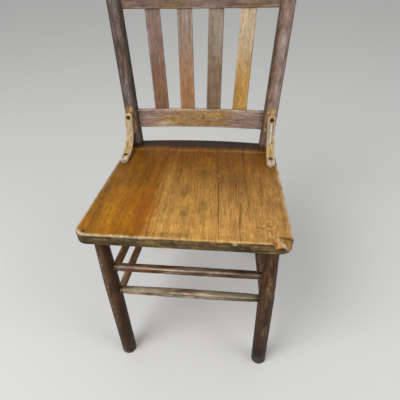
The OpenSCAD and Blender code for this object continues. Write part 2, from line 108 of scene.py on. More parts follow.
def power_prop(name, description, watts):
    """The power of a lamp."""
    return FloatProperty(name=name, description=description, default=watts, min=0, unit="POWER")


class ChairSizes(PropertyGroup):
    """Small sizes of the skins, which the frame leaves open."""
    seat_front_roll: size_prop("Front roll", "Radius of the worn roll along the seat's front top edge", 6)
    seat_side_roll: size_prop("Side roll", "Radius of the roll along the seat's side and rear top edges", 4)
    seat_under_roll: size_prop("Under roll", "Radius of the roll along the seat's bottom edges", 3)
    seat_hollow: size_prop("Seat hollow", "Depth of the shallow hollow in the seat", 3)
    seat_hollow_reach: size_prop("Hollow reach", "Radius of the shallow hollow in the seat", 158)
    rail_edge: size_prop("Rail edge", "Radius of the eased edges of the rails", 2.5)
    slat_edge: size_prop("Slat edge", "Radius of the eased edges of the slats", 1.6)
    brace_edge: size_prop("Brace edge", "Radius of the eased edges of the hip braces", 1.8)
    brace_bend: size_prop("Brace bend", "Radius of the concave face of a hip brace", 57)
    brace_width: size_prop("Brace width", "Width of a hip brace", 19)
    brace_let_in: size_prop("Brace let-in", "Depth that a hip brace is let into its post", 2)
    screw_recess: size_prop("Screw recess", "Radius of the dark hollow round a brace screw", 5)
    post_top_round: size_prop("Post top", "Radius of the rounded edge at a post's top", 9)
    foot_bevel: size_prop("Foot bevel", "Width of the worn bevel round a foot", 3)
    dent: size_prop("Dent", "Depth of the knocks in the legs, posts and stretchers", 0.7)


class ChairColours(PropertyGroup):
    """Colours of the varnish, the wood under it and the steel."""
    seat_amber: colour_prop("Seat amber", "Varnish over the left board of the seat", (0.345, 0.131, 0.004))
    seat_tan: colour_prop("Seat tan", "Varnish over the middle board of the seat", (0.535, 0.28, 0.066))
    seat_umber: colour_prop("Seat umber", "Varnish over the right board of the seat", (0.53, 0.272, 0.074))
    seat_red: colour_prop("Seat red", "Redder blotch on the left board", (0.375, 0.11, 0.005))
    seat_gold: colour_prop("Seat gold", "Brighter patches on the left board", (0.44, 0.185, 0.01))
    # Darker varnish and painted shade towards the rear of the seat; it also darkens the bottom of the edges.
    seat_brown: colour_prop("Seat brown", "Darker varnish at the rear of the seat", (0.18, 0.066, 0.003))
    # Dark brown for the old dirt and stains on the seat, and for the painted shade on its rear rim.
    seat_dirt_and_shade: colour_prop("Seat shadow", "Old dirt on the seat", (0.022, 0.008, 0.002))
    edge_brown: colour_prop("Edge brown", "Varnish left on the seat's front edge", (0.175, 0.105, 0.034))
    edge_dark: colour_prop("Edge dark", "Grimy end grain along the seat's front edge", (0.044, 0.028, 0.013))
    # Golden worn wood, also used for the painted highlight along the seat's front corner.
    gold_wear_and_highlight: colour_prop("Worn gold", "Golden worn corners of the edges", (0.62, 0.42, 0.15))
    side_dust: colour_prop("Side dust", "Greyer dirt along the sides of the seat", (0.165, 0.092, 0.030))
    # Pale worn wood, also used for painted highlights along the seat's edges, the stretchers' crowns and the
    # legs.
    pale_wear_and_highlight: colour_prop("Worn line", "Pale worn corners of the edges", (0.58, 0.50, 0.38))
    # The left post's grey: bloomed varnish with a painted sheen.
    post_bloom_and_sheen: colour_prop("Post grey", "Bloomed dark varnish of the posts", (0.13, 0.098, 0.078))
    post_rose: colour_prop("Post rose", "Paler rubbed varnish of the right post", (0.20, 0.13, 0.095))
    # A painted sheen along the side of the posts that faces the front.
    post_lilac_sheen: colour_prop("Post lilac", "Cool sheen along the posts", (0.25, 0.20, 0.19))
    post_brown: colour_prop("Post brown", "Brown varnish of the posts", (0.15, 0.085, 0.05))
    leg_brown: colour_prop("Leg brown", "Dark reddish varnish of the legs", (0.055, 0.022, 0.007))
    # A painted highlight along the side of each leg that faces the front.
    leg_lit_ridge: colour_prop("Leg tan", "Paler ridge of the legs, rubbed and dusty", (0.2, 0.105, 0.046))
    leg_red: colour_prop("Leg red", "Rubbed varnish of the legs", (0.105, 0.038, 0.011))
    stretcher_brown: colour_prop("Stretcher brown", "Varnish of the stretchers", (0.13, 0.075, 0.045))
    # These three colours lighten the stretchers' upper sides: rubbed wear and painted light.
    side_tan: colour_prop("Side tan", "Rubbed tops of the side stretchers", (0.31, 0.195, 0.095))
    stretcher_mauve: colour_prop("Stretcher mauve", "Rubbed upper front stretcher", (0.20, 0.13, 0.088))
    stretcher_tan: colour_prop("Stretcher tan", "Rubbed lower front stretcher", (0.33, 0.26, 0.165))
    rail_mauve: colour_prop("Rail mauve", "Greyish varnish of the rails", (0.345, 0.232, 0.195))
    rail_brown: colour_prop("Rail brown", "Rubbed varnish of the rails", (0.335, 0.205, 0.086))
    slat_mauve: colour_prop("Slat mauve", "Varnish of the first slat", (0.22, 0.115, 0.065))
    slat_mauve_top: colour_prop("Slat mauve top", "Bloomed top of the first slat", (0.225, 0.15, 0.125))
    slat_orange_top: colour_prop("Slat orange top", "Bloomed top of the second slat", (0.29, 0.215, 0.165))
    slat_grey_top: colour_prop("Slat grey top", "Bloomed top of the third slat", (0.285, 0.228, 0.17))
    slat_gold_top: colour_prop("Slat gold top", "Bloomed top of the fourth slat", (0.52, 0.40, 0.26))
    slat_orange: colour_prop("Slat orange", "Varnish of the second slat", (0.35, 0.18, 0.083))
    slat_grey: colour_prop("Slat grey", "Varnish of the third slat", (0.22, 0.14, 0.085))
    slat_gold: colour_prop("Slat gold", "Varnish of the fourth slat", (0.46, 0.26, 0.07))
    brace_gold: colour_prop("Brace gold", "Pale golden wood of the braces", (0.56, 0.39, 0.17))
    brace_amber: colour_prop("Brace amber", "Varnish in the middle of the braces", (0.50, 0.28, 0.085))
    # A painted cool sheen on the braces' upper halves.
    brace_sheen_grey: colour_prop("Brace grey", "Cool sheen on the upper half of the braces", (0.36, 0.35, 0.30))
    # Painted highlight streaks on the braces' upper halves, and the pale worn tips at their feet.
    brace_white_highlight_and_wear: colour_prop("Brace white", "Whitest worn streaks of the braces", (0.74, 0.70, 0.63))
    brace_brown: colour_prop("Brace brown", "Varnish left in the hollows of the braces", (0.20, 0.115, 0.05))
    bare_wood: colour_prop("Bare wood", "Raw wood where the varnish has gone", (0.55, 0.38, 0.19))
    bloom: colour_prop("Bloom", "Pale grey bloom on old varnish", (0.42, 0.38, 0.36))
    steel: colour_prop("Steel", "Dark steel of the screws", (0.06, 0.05, 0.042))


class ChairStage(PropertyGroup):
    """The camera's place in front of the seat's front edge, and the lights."""
    camera_across: place_prop("Camera across", "Camera's distance right of the middle", 0.1073)
    camera_before: place_prop("Camera before", "Camera's distance before the seat's front edge", 0.4967)
    camera_height: place_prop("Camera height", "Camera's height above the floor", 0.9354)
    camera_turn: turn_prop("Camera turn", "Turn of the view to the left", 0.1291)
    camera_tilt: turn_prop("Camera tilt", "Tilt of the view downwards", 0.6771)
    camera_roll: turn_prop("Camera roll", "Roll of the camera", 0.0394)
    camera_lens: FloatProperty(name="Lens", description="Focal length on a 36 mm wide sensor", default=34.19,
                               unit="CAMERA")
    shift_across: FloatProperty(name="Shift across", description="Lens shift across", default=-0.0038)
    shift_up: FloatProperty(name="Shift up", description="Lens shift upwards", default=0.0105)
    ambient: share_prop("Ambient", "Strength of the even light from all round", 0.55)
    key_power: power_prop("Key light", "Power of the large light at the front left", 46)
    fill_power: power_prop("Fill light", "Power of the large light at the right", 14)
    floor: colour_prop("Floor", "Pale plain floor", (0.80, 0.80, 0.79))


# ---- Measures read from the frame ----


def unit(v):
    """Vectors of length 1."""
    v = np.asarray(v, float)
    return v / np.linalg.norm(v, axis=-1, keepdims=True)


def ease(x, low, high):
    """0 at low, 1 at high and smooth between; low may be the larger of the two."""
    t = np.clip((np.asarray(x, float) - low) / (high - low), 0, 1)
    return t * t * (3 - 2 * t)


def ease_mm(x, low, high):
    """ease between two limits in millimetres."""
    return ease(x, low * MM, high * MM)


def cad_points(node):
    """The distinct corners of a CAD node's mesh."""
    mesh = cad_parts[node].data
    flat = np.empty(len(mesh.vertices) * 3, np.float32)
    mesh.vertices.foreach_get("co", flat)
    return np.unique(flat.reshape(-1, 3).astype(float).round(6), axis=0)


def end_middle(points, direction, depth=RING_DEPTH):
    """The middle of the ring of corners that lies furthest along a direction."""
    along = points @ np.asarray(direction, float)
    ring = points[along > along.max() - depth]
    return (ring.min(0) + ring.max(0)) / 2


def axis_ends(node):
    """The two end middles of a long piece, the lower, left or front one first."""
    points = cad_points(node)
    direction = np.linalg.svd(points - points.mean(0), full_matrices=False)[2][0]
    direction = direction * np.sign(direction[np.argmax(abs(direction))])
    for _ in range(3):
        low, high = end_middle(points, -direction), end_middle(points, direction)
        direction = unit(high - low)
    return low, high


def turned_radius(node, low, high):
    """The radius along a turned piece's axis, as a function, from the corners of its CAD mesh."""
    points = cad_points(node) - low
    direction = unit(high - low)
    along = points @ direction
    away = np.linalg.norm(points - along[:, None] * direction, axis=1)
    bins = np.floor(along / (6 * MM)).astype(int)
    rows = [b for b in np.unique(bins) if (bins == b).sum() > 8]
    tops = [np.argmax(np.where(bins == b, away, 0)) for b in rows]
    return lambda s: np.interp(s, along[tops], away[tops])


def plan_outline(points):
    """The convex outline of points in plan."""
    plan = [Vector(p[:2]) for p in points]
    return np.array([plan[i] for i in geometry.convex_hull_2d(plan)])


def straight_sides(outline):
    """The ends of an outline's longest straight side on the left and on the right, front end first."""
    ahead = np.roll(outline, -1, 0)
    rise = abs(ahead[:, 1] - outline[:, 1])
    middle = (outline[:, 0].min() + outline[:, 0].max()) / 2
    sides = []
    for side in (-1, 1):
        own = rise * ((outline[:, 0] - middle) * side > 0) * ((ahead[:, 0] - middle) * side > 0)
        i = np.argmax(own)
        sides.append(sorted((tuple(outline[i]), tuple(ahead[i])), key=lambda p: p[1]))
    return sides


class Line:
    """x as a straight function of y in plan."""

    def __init__(self, start, end):
        self.slope = (end[0] - start[0]) / (end[1] - start[1])
        self.start = start

    def __call__(self, y):
        return self.start[0] + self.slope * (y - self.start[1])


class SeatPlan:
    """The seat in plan: its levels, straight sides, glue lines, bowed rear edge and round corners."""

    def __init__(self):
        boards = np.vstack([cad_points(node) for node in SEAT_BOARDS])
        self.under, self.top = boards[:, 2].min(), boards[:, 2].max()
        self.front = boards[:, 1].min()
        outline = plan_outline(boards)
        front_end, rear_end = straight_sides(outline)[1]
        self.side = Line(front_end, rear_end)
        rear = outline[(outline[:, 1] > rear_end[1]) & (abs(outline[:, 0]) < 0.85 * rear_end[0])]
        self.bow = np.polyfit(rear[:, 0] ** 2, rear[:, 1], 1)
        self.glue = [Line(*ends) for ends in straight_sides(plan_outline(cad_points("middle_seat_board")))]
        slant = -atan2(self.side.slope, 1)
        lean = atan2(-2 * self.bow[0] * rear_end[0], 1)
        self.corners = [
            self.corner(front_end, self.front, slant, -pi / 2),
            self.corner(rear_end, self.rear(rear_end[0]), slant, pi / 2 - lean),
        ]

    @staticmethod
    def corner(tangent, y, slant, facing):
        """Middle, radius and two outward directions of the round corner between a side and the edge at y."""
        radius = abs(y - tangent[1]) / cos(slant) / tan(abs(facing - slant) / 2)
        outward = [np.array((cos(a), sin(a))) for a in (slant, facing)]
        return np.array(tangent) - radius * outward[0], radius, outward[0], outward[1]

    def rear(self, x):
        """y of the bowed rear edge."""
        return np.polyval(self.bow, np.asarray(x, float) ** 2)


seat = SeatPlan()


class BackFrame:
    """The raked frame of the back: X across, V backwards and W up along the posts' plane."""

    def __init__(self):
        feet, directions = [], []
        for node in ("left_post", "right_post"):
            low, high = axis_ends(node)
            direction = unit(high - low)
            feet.append(low + direction * (seat.top - low[2]) / direction[2])
            directions.append(direction)
        self.origin = (feet[0] + feet[1]) / 2
        self.up = unit(directions[0] + directions[1])
        self.back = np.cross(self.up, X_AXIS)

    def place(self, x, v, w):
        """Points of the frame."""
        x, v, w = np.broadcast_arrays(x, v, w)
        return self.origin + x[..., None] * X_AXIS + v[..., None] * self.back + w[..., None] * self.up

    def local(self, points):
        """x, v and w of points."""
        offset = points - self.origin
        return offset @ X_AXIS, offset @ self.back, offset @ self.up


back = BackFrame()


# ---- Skins ----

# Gaps between the rings and the grid lines of the skins.
SEAT_GAP = 2.4 * MM
LEG_GAP = 3 * MM
BAR_GAP = 2.6 * MM
BRACE_GAP = 0.9 * MM
# Faces that meet at more than this angle keep a crisp edge.
SHARP_ANGLE = radians(38)


def lumps_at(places, sizes, seed, layer=0, octaves=3):
    """Smooth noise from about -1 to 1 at places, with lumps of a size for each axis."""
    scaled = places / sizes + (seed * 7.3, layer * 3.7, seed * 1.9)
    return np.array([noise.fractal(Vector(p), 1.0, 2.0, octaves) for p in scaled])


def spot(places, middle, reach):
    """1 in the middle of an oval spot, fading away round it."""
    offset = (np.stack(places, -1) - np.array(middle)) / np.array(reach)
    return np.exp(-2 * (offset ** 2).sum(-1))


class Skin:
    """A closed surface: its corners and faces, their places in the wood's grain, and the paint on it."""

    def __init__(self, points, faces, grain, seed):
        self.points = np.asarray(points, float)
        self.faces = faces
        self.grain = np.asarray(grain, float)
        self.seed = seed
        self.stain = np.ones((len(self.points), 3))
        self.bare = np.zeros(len(self.points))
        # The dark mark: old dirt, and painted shade at joints, undersides and hollows.
        self.grime_and_shade = np.zeros(len(self.points))

    def lumps(self, across, along, layer=0, octaves=3):
        """Smooth noise from about -1 to 1, with lumps sized in millimetres across and along the grain."""
        return lumps_at(self.grain, (across * MM, across * MM, along * MM), self.seed, layer, octaves)

    def stained(self, tint, amount=1.0):
        """Turns the stain towards one of the panel's colours, by one amount or one for each corner."""
        amount = np.clip(np.broadcast_to(amount, self.bare.shape), 0, 1)[:, None]
        colour = np.array(getattr(bpy.context.scene.chair_colours, tint))
        self.stain = self.stain + (colour - self.stain) * amount

    def shaded(self, factor):
        """Makes the stain lighter or darker."""
        self.stain = self.stain * np.broadcast_to(factor, self.bare.shape)[:, None]

    def build(self, node, slot, varnish):
        """Makes the piece that stands for a CAD node."""
        p, faces = self.points, self.faces
        fans = np.array([(f[0], f[i], f[i + 1]) for f in faces for i in range(1, len(f) - 1)])
        first, second, third = (p[fans[:, i]] for i in range(3))
        if (first * np.cross(second, third)).sum() < 0:
            faces = [face[::-1] for face in faces]
        mesh = bpy.data.meshes.new(node + "_skin")
        mesh.from_pydata(p.tolist(), [], faces)
        mesh.polygons.foreach_set("use_smooth", [True] * len(mesh.polygons))
        mesh.set_sharp_from_angle(angle=SHARP_ANGLE)
        grain = mesh.attributes.new("grain", "FLOAT_VECTOR", "POINT")
        grain.data.foreach_set("vector", (self.grain + (0.31 * self.seed, 0.17, 0.23 * self.seed)).ravel())
        marks = mesh.attributes.new("marks", "FLOAT_VECTOR", "POINT")
        marks.data.foreach_set("vector", np.stack([self.bare, self.grime_and_shade, 0 * self.bare], -1).ravel())
        stain = mesh.attributes.new("stain", "FLOAT_COLOR", "POINT")
        stain.data.foreach_set("color", np.hstack([np.clip(self.stain, 0, 1), np.ones((len(p), 1))]).ravel())
        mesh.materials.append(old_wood(varnish))
        piece = bpy.data.objects.new(node + "_piece", mesh)
        bpy.context.scene.collection.objects.link(piece)
        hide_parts(node)
        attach(piece, "root")


def probe_at(grain, seed):
    """A skin without faces, for asking how lumpy the wood is at places in its grain."""
    places = grain.reshape(-1, 3)
    return Skin(places, [], places, seed)


def tube(rings):
    """Corners and faces of a closed tube through rings of points, with a middle corner at each end."""
    count, around = rings.shape[:2]
    corners = np.vstack([rings.reshape(-1, 3), rings[0].mean(0), rings[-1].mean(0)])
    k = np.arange(around)
    after = (k + 1) % around
    rows = np.arange(count - 1)[:, None] * around
    quads = np.stack([rows + k, rows + after, rows + around + after, rows + around + k], -1).reshape(-1, 4)
    last = (count - 1) * around
    low_fan = [(int(b), int(a), count * around) for a, b in zip(k, after)]
    high_fan = [(int(last + a), int(last + b), count * around + 1) for a, b in zip(k, after)]
    return corners, quads.tolist() + low_fan + high_fan


def with_ends(values):
    """A value for each ring point, with one more for each end's middle corner."""
    flat = values.reshape(-1, *values.shape[2:])
    return np.concatenate([flat, values[:1].mean(1), values[-1:].mean(1)])


def spaced(start, end, gap, close=()):
    """Stations from start to end about gap apart, with closer ones at the given distances from both ends."""
    inner = np.linspace(start, end, max(2, round((end - start) / gap)) + 1)
    low = [start + d for d in close]
    high = [end - d for d in close]
    reach = max(close, default=0)
    inner = inner[(inner > start + reach + gap / 2) & (inner < end - reach - gap / 2)]
    return np.unique(np.concatenate([[start, end], low, high, inner]).round(7))


def turned_skin(low, high, radius, stations, seed, level=None, around=56, dent=0.0):
    """A round piece: knocked rings at stations along its axis from low; level is how the rings face."""
    along = unit(high - low)
    side = unit(np.cross(along, X_AXIS if abs(along[0]) < 0.8 else Z_AXIS))
    other = np.cross(along, side)
    turn = 2 * pi * np.arange(around) / around
    turned = np.stack([np.cos(turn), np.sin(turn)], -1)
    circle = turned[:, :1] * side + turned[:, 1:] * other
    if level is not None:
        circle = circle - along * ((circle @ level) / (along @ level))[:, None]
    r = np.repeat(radius(stations)[:, None], around, 1)
    run = np.repeat(stations[:, None, None], around, 1)
    probe = probe_at(np.concatenate([r[..., None] * turned, run], -1), seed)
    knocks = ease(probe.lumps(16, 26, 1), 0.25, 0.8) + 0.35 * ease(probe.lumps(30, 90, 2), -0.4, 0.8)
    r = r - dent * knocks.reshape(r.shape) * np.minimum(1, r / (4 * MM))
    rings = low + stations[:, None, None] * along + r[..., None] * circle
    grain = np.concatenate([r[..., None] * turned, run], -1)
    points, faces = tube(rings)
    skin = Skin(points, faces, with_ends(grain), seed)
    skin.knocks = np.append(knocks, (0, 0))
    skin.facing = unit(np.append(np.broadcast_to(circle, rings.shape).reshape(-1, 3), [-along, along], 0))
    return skin


def rounded_outline(wide, deep, radius, gap):
    """Points round a rectangle with rounded corners, and how close each lies to a corner, from 0 to 1."""
    a, b = wide / 2 - radius, deep / 2 - radius
    points = []
    for x, y, first in ((a, b, 0), (-a, b, 90), (-a, -b, 180), (a, -b, 270)):
        for angle in (radians(first + 30 * step) for step in range(4)):
            points.append((x + radius * cos(angle), y + radius * sin(angle)))
    outline, edge = [], []
    for i, point in enumerate(points):
        outline.append(point)
        edge.append(1.0)
        ahead = points[(i + 1) % len(points)]
        across, along = ahead[0] - point[0], ahead[1] - point[1]
        length = np.hypot(across, along)
        count = int(length / gap) if i % 4 == 3 else 0
        for t in (j / count for j in range(1, count)):
            outline.append((point[0] + across * t, point[1] + along * t))
            edge.append(max(0.0, 1 - min(t, 1 - t) * length / (3 * MM)))
    return np.array(outline), np.array(edge)


def bar_skin(centres, across, through, outline, edge, seed, dip=None, squeeze=None):
    """A bar of one cross-section along a path, with its two directions across the path.

    dip, one number for each point, sinks the surface inwards, and squeeze narrows whole sections.
    """
    count = len(centres)
    across, through = [np.broadcast_to(direction, centres.shape) for direction in (across, through)]
    section = np.repeat(outline[None], count, 0)
    if squeeze is not None:
        section = section * squeeze
    if dip is not None:
        length = np.linalg.norm(section, axis=-1, keepdims=True)
        inward = np.stack([section[..., 0] * 0, np.sign(section[..., 1])], -1)
        flat = abs(section[..., 1:]) > 0.8 * abs(outline[:, 1]).max()
        section = section - dip[..., None] * np.where(flat, inward, section / np.maximum(length, 1e-6))
    rings = centres[:, None] + section[..., :1] * across[:, None] + section[..., 1:] * through[:, None]
    run = np.concatenate([[0], np.cumsum(np.linalg.norm(np.diff(centres, axis=0), axis=1))])
    grain = np.concatenate([section, np.repeat(run[:, None, None], outline.shape[0], 1)], -1)
    points, faces = tube(rings)
    skin = Skin(points, faces, with_ends(grain), seed)
    skin.edge = with_ends(np.repeat(edge[None], count, 0))
    return skin


def section_lumps(stations, outline, across, along, seed, layer):
    """Smooth noise over a bar's surface, for its dips, with lumps of a size in millimetres."""
    section = np.repeat(outline[None], len(stations), 0)
    run = np.repeat(stations[:, None, None], len(outline), 1)
    probe = probe_at(np.concatenate([section, run], -1), seed)
    return probe.lumps(across, along, layer).reshape(len(stations), len(outline))


def knocked_bar(run, centres, across, through, outline, edge, seed, hollows, knocks):
    """A bar with shallow hollows and knocked edges, each with its depth and lump sizes in millimetres."""
    hollow_depth, *hollow_size = hollows
    knock_depth, *knock_size, least = knocks
    dip = hollow_depth * MM * ease(section_lumps(run, outline, *hollow_size, seed, 1), -0.2, 0.8)
    knocked = ease(section_lumps(run, outline, *knock_size, seed, 2), least, 0.7) * edge
    skin = bar_skin(centres, across, through, outline, edge, seed, dip + knock_depth * MM * knocked)
    skin.knocked = with_ends(knocked)
    return skin


# ---- Finishes ----


# Specular level of old varnish, which hardly shines.
DULL_SHEEN = 0.14

# How each varnish looks: its figure, crazing, mottling, roughness and pale specks.
VARNISHES = {
    "left_seat_board_varnish": (0.46, 0.30, 1.25, 0.36, 0.7),
    "middle_seat_board_varnish": (0.76, 0.30, 1.25, 0.36, 0.7),
    "right_seat_board_varnish": (0.85, 0.30, 1.25, 0.36, 0.7),
    "leg_varnish": (0.7, 0.8, 1.2, 0.38, 1.0),
    "post_varnish": (0.6, 1.0, 1.5, 0.32, 1.4),
    "stretcher_varnish": (0.9, 0.7, 1.6, 0.38, 1.2),
    "rail_varnish": (1.0, 0.5, 1.3, 0.34, 1.2),
    "slat_varnish": (0.9, 0.25, 1.0, 0.36, 0.8),
    "brace_wood": (0.8, 0.5, 1.4, 0.34, 0.4),
}


class Wire:
    """A value in a finish. Arithmetic on it adds Math nodes."""

    def __init__(self, finish, socket):
        self.finish = finish
        self.socket = socket

    def math(self, operation, *others):
        """A Math node on this value and others."""
        values = {i: value for i, value in enumerate((self, *others))}
        return self.finish.node("ShaderNodeMath", {"operation": operation}, values)

    def __add__(self, other):
        return self.math("ADD", other)

    __radd__ = __add__

    def __mul__(self, other):
        return self.math("MULTIPLY", other)

    __rmul__ = __mul__

    def __sub__(self, other):
        return self.math("SUBTRACT", other)

    def __rsub__(self, other):
        return self.math("MULTIPLY_ADD", -1.0, other)

    def within(self, low, high):
        """0 at low, 1 at high and smooth between; low may be the larger."""
        values = {"Value": self, "From Min": low, "From Max": high}
        return self.finish.node("ShaderNodeMapRange", {"interpolation_type": "SMOOTHSTEP"}, values)

    def most(self, other):
        """The larger of two values."""
        return self.math("MAXIMUM", other)


class Finish:
    """A procedural finish: the material or world that owns it, and the nodes that make it."""

    def __init__(self, owner):
        self.owner = owner
        owner.use_nodes = True
        self.tree = owner.node_tree
        self.tree.nodes.clear()

    def node(self, kind, settings=None, values=None, output=0):
        """Adds a node, sets it, fills or links its sockets and gives one of its outputs."""
        node = self.tree.nodes.new(kind)
        for name, value in (settings or {}).items():
            setattr(node, name, value)
        for name, value in (values or {}).items():
            socket = node.inputs[name]
            if isinstance(value, Wire):
                self.tree.links.new(value.socket, socket)
            else:
                socket.default_value = value
        return None if output is None else Wire(self, node.outputs[output])

    def attribute(self, name, output="Vector"):
        """A value painted on the mesh."""
        return self.node("ShaderNodeAttribute", {"attribute_name": name}, output=output)

    def part(self, vector, axis):
        """One coordinate of a vector."""
        return self.node("ShaderNodeSeparateXYZ", None, {"Vector": vector}, axis)

    def stretched(self, vector, across, along):
        """A place in the grain, counted in lumps: so many to a metre across and along the grain."""
        lumps = (across, across, along)
        return self.node("ShaderNodeVectorMath", {"operation": "MULTIPLY"}, {0: vector, 1: lumps})

    def cloud(self, vector, across, along, detail=2.0, roughness=0.5):
        """Smooth noise with so many lumps to a metre."""
        place = self.stretched(vector, across, along)
        values = {"Vector": place, "Scale": 1.0, "Detail": detail, "Roughness": roughness}
        return self.node("ShaderNodeTexNoise", None, values)

    def cells(self, place, feature="F1", output="Distance"):
        """A pattern of cells one lump wide."""
        values = {"Vector": place, "Scale": 1.0}
        return self.node("ShaderNodeTexVoronoi", {"feature": feature}, values, output)

    def mix(self, first, second, amount, blend="MIX"):
        """One colour laid over another."""
        settings = {"data_type": "RGBA", "blend_type": blend}
        values = {0: amount, 6: self.rgba(first), 7: self.rgba(second)}
        return self.node("ShaderNodeMix", settings, values, 2)

    @staticmethod
    def rgba(value):
        """A colour as a socket takes it."""
        return value if isinstance(value, Wire) else (*value[:3], 1.0)

    def surface(self, height, depth, **values):
        """Ends the finish with one shader, and bump from a height if there is one."""
        if height is not None:
            bump = self.node("ShaderNodeBump", None, {"Height": height, "Distance": depth, "Strength": 1.0})
            values["Normal"] = bump
        values.setdefault("Specular_IOR_Level", DULL_SHEEN)
        sockets = {name.replace("_", " "): value for name, value in values.items()}
        shader = self.node("ShaderNodeBsdfPrincipled", None, sockets)
        self.node("ShaderNodeOutputMaterial", None, {"Surface": shader}, None)
        return self.owner


@cache
def old_wood(name):
    """Worn varnish over wood. The grain, the stain with some painted light and shade, and the marks of wear,
    dirt and painted shade are painted on the mesh.
    """
    figure, crazing, mottling, roughness, specks = VARNISHES[name]
    bare_wood = bpy.context.scene.chair_colours.bare_wood
    f = Finish(bpy.data.materials.new(name))
    grain = f.attribute("grain")
    stain = f.attribute("stain", "Color")
    marks = f.attribute("marks")
    bare, grime_and_shade, across = f.part(marks, "X"), f.part(marks, "Y"), f.part(grain, "X")

    # The wood's figure: its rings, streaks, fibres and open pores.
    drift = f.cloud(grain, 24, 7)
    streaks = f.cloud(grain, 230, 7, 3, 0.62)
    fibres = f.cloud(grain, 1000, 32, 2, 0.6)
    pore = f.cloud(grain, 900, 38, 1).within(0.60, 0.70)
    rings = (across * 720 + drift * 16).math("SINE")
    lines = f.cloud(grain, 270, 5, 2, 0.5).within(0.56, 0.68)
    # The varnish: blotches, mottling, pale flecks and crazing that comes and goes.
    blotch = f.cloud(grain, 42, 22, 4, 0.6)
    mottle = f.cloud(grain, 170, 80, 4, 0.7)
    flecks = f.cloud(grain, 130, 42, 3, 0.6).within(0.56, 0.70)
    crazed_at = f.node("ShaderNodeVectorMath", {"operation": "MULTIPLY_ADD"}, {
        0: f.node("ShaderNodeTexNoise", None, {"Vector": f.stretched(grain, 130, 130)}, "Color"),
        1: (0.8, 0.8, 0.8), 2: f.stretched(grain, 330, 210)})
    crack = f.cells(crazed_at, "DISTANCE_TO_EDGE").within(0.10, 0.01)
    crack = crack * f.cloud(grain, 34, 26).within(0.40, 0.62)

    tone = 1 + (streaks - 0.5) * (1.15 * figure) + (fibres - 0.5) * 0.55 + rings * (0.05 * figure)
    tone = tone * (0.70 + blotch * 0.60) * (1 + (mottle - 0.5) * mottling)
    tone = tone * (1 - pore * 0.40) * (1 - lines * (0.34 * figure)) * (1 - crack * (0.42 * crazing))
    tone = tone * (1 + 0.08 * figure) * (1 + flecks * 0.26)
    varnish = f.mix(stain, tone, 1.0, "MULTIPLY")
    deep = f.mix(varnish, (0.62, 0.50, 0.38), 1.0, "MULTIPLY")
    varnish = f.mix(varnish, deep, streaks.within(0.56, 0.70) * (0.75 * figure))

    # Chips down to the raw wood, dirt and painted shade in the corners, and pale specks.
    chips = f.cloud(grain, 190, 85, 4, 0.65)
    worn = (bare + chips * 0.9 - 0.45).within(0.42, 0.52)
    raw = f.mix(bare_wood, (0.80, 0.72, 0.62), streaks.within(0.35, 0.75), "MULTIPLY")
    worn_colour = f.mix(varnish, raw, worn)
    # The dark mark darkens with old dirt and with painted shade near joints and on undersides.
    dirt = (grime_and_shade * (0.45 + chips * 1.1)).within(0.0, 1.0)
    dirt_and_shade_colour = f.mix(worn_colour, (0.24, 0.19, 0.15), dirt, "MULTIPLY")
    speck_at = f.stretched(grain, 88, 60)
    speck = f.cells(speck_at).within(0.085, 0.055)
    chosen = f.part(f.cells(speck_at, "F1", "Color"), "X")
    speck = speck * chosen.within(0.90 - 0.05 * specks, 0.92 - 0.05 * specks) * min(1.0, specks)
    final = f.mix(dirt_and_shade_colour, (0.62, 0.57, 0.50), speck * 0.8)

    rough = roughness + blotch * 0.14 + worn * 0.26 + dirt * 0.20 + pore * 0.10
    height = streaks * 0.22 + fibres * 0.25 - pore * 0.45 - crack * (0.55 * crazing) - worn * 0.55
    return f.surface(height + speck * 0.4, 0.5 * MM, Base_Color=final, Roughness=rough, Metallic=0.0)


def old_steel(name):
    """Dark oxidised steel with dull scratches."""
    colour = bpy.context.scene.chair_colours.steel
    f = Finish(bpy.data.materials.new(name))
    place = f.node("ShaderNodeTexCoord", None, None, "Object")
    pits = f.cloud(place, 900, 900, 4, 0.7)
    rust = f.cloud(place, 260, 260, 3).within(0.48, 0.62)
    tint = f.mix(colour, (0.11, 0.050, 0.022), rust)
    dulled = f.mix(tint, (0.55, 0.55, 0.55), pits.within(0.6, 0.3), "MULTIPLY")
    rough, metallic = 0.42 + rust * 0.35, 0.85 - rust * 0.7
    return f.surface(pits, 0.2 * MM, Base_Color=dulled, Roughness=rough, Metallic=metallic)


# ---- Seat ----

# Grid lines that lie close to the edges, by their distance from them.
EDGE_STEPS = [d * MM for d in (0.4, 1.0, 1.8, 2.8, 4.0, 5.5, 7.5, 10)]
# Where the strips of the walls lie, from top to bottom, and how the rough end grain swells each of them.
WALL_SHARES = (0.08, 0.25, 0.5, 0.75, 0.92)
WALL_SWELLS = (0.6, -0.8, 1.0, -0.6, 0.8)
# Depths of the waves in the seat's top, of its open glue line and of its knocked arris.
WAVE_DEPTH = 0.35 * MM
GROOVE_DEPTH = 0.8 * MM
KNOCK_DEPTH = 1.6 * MM
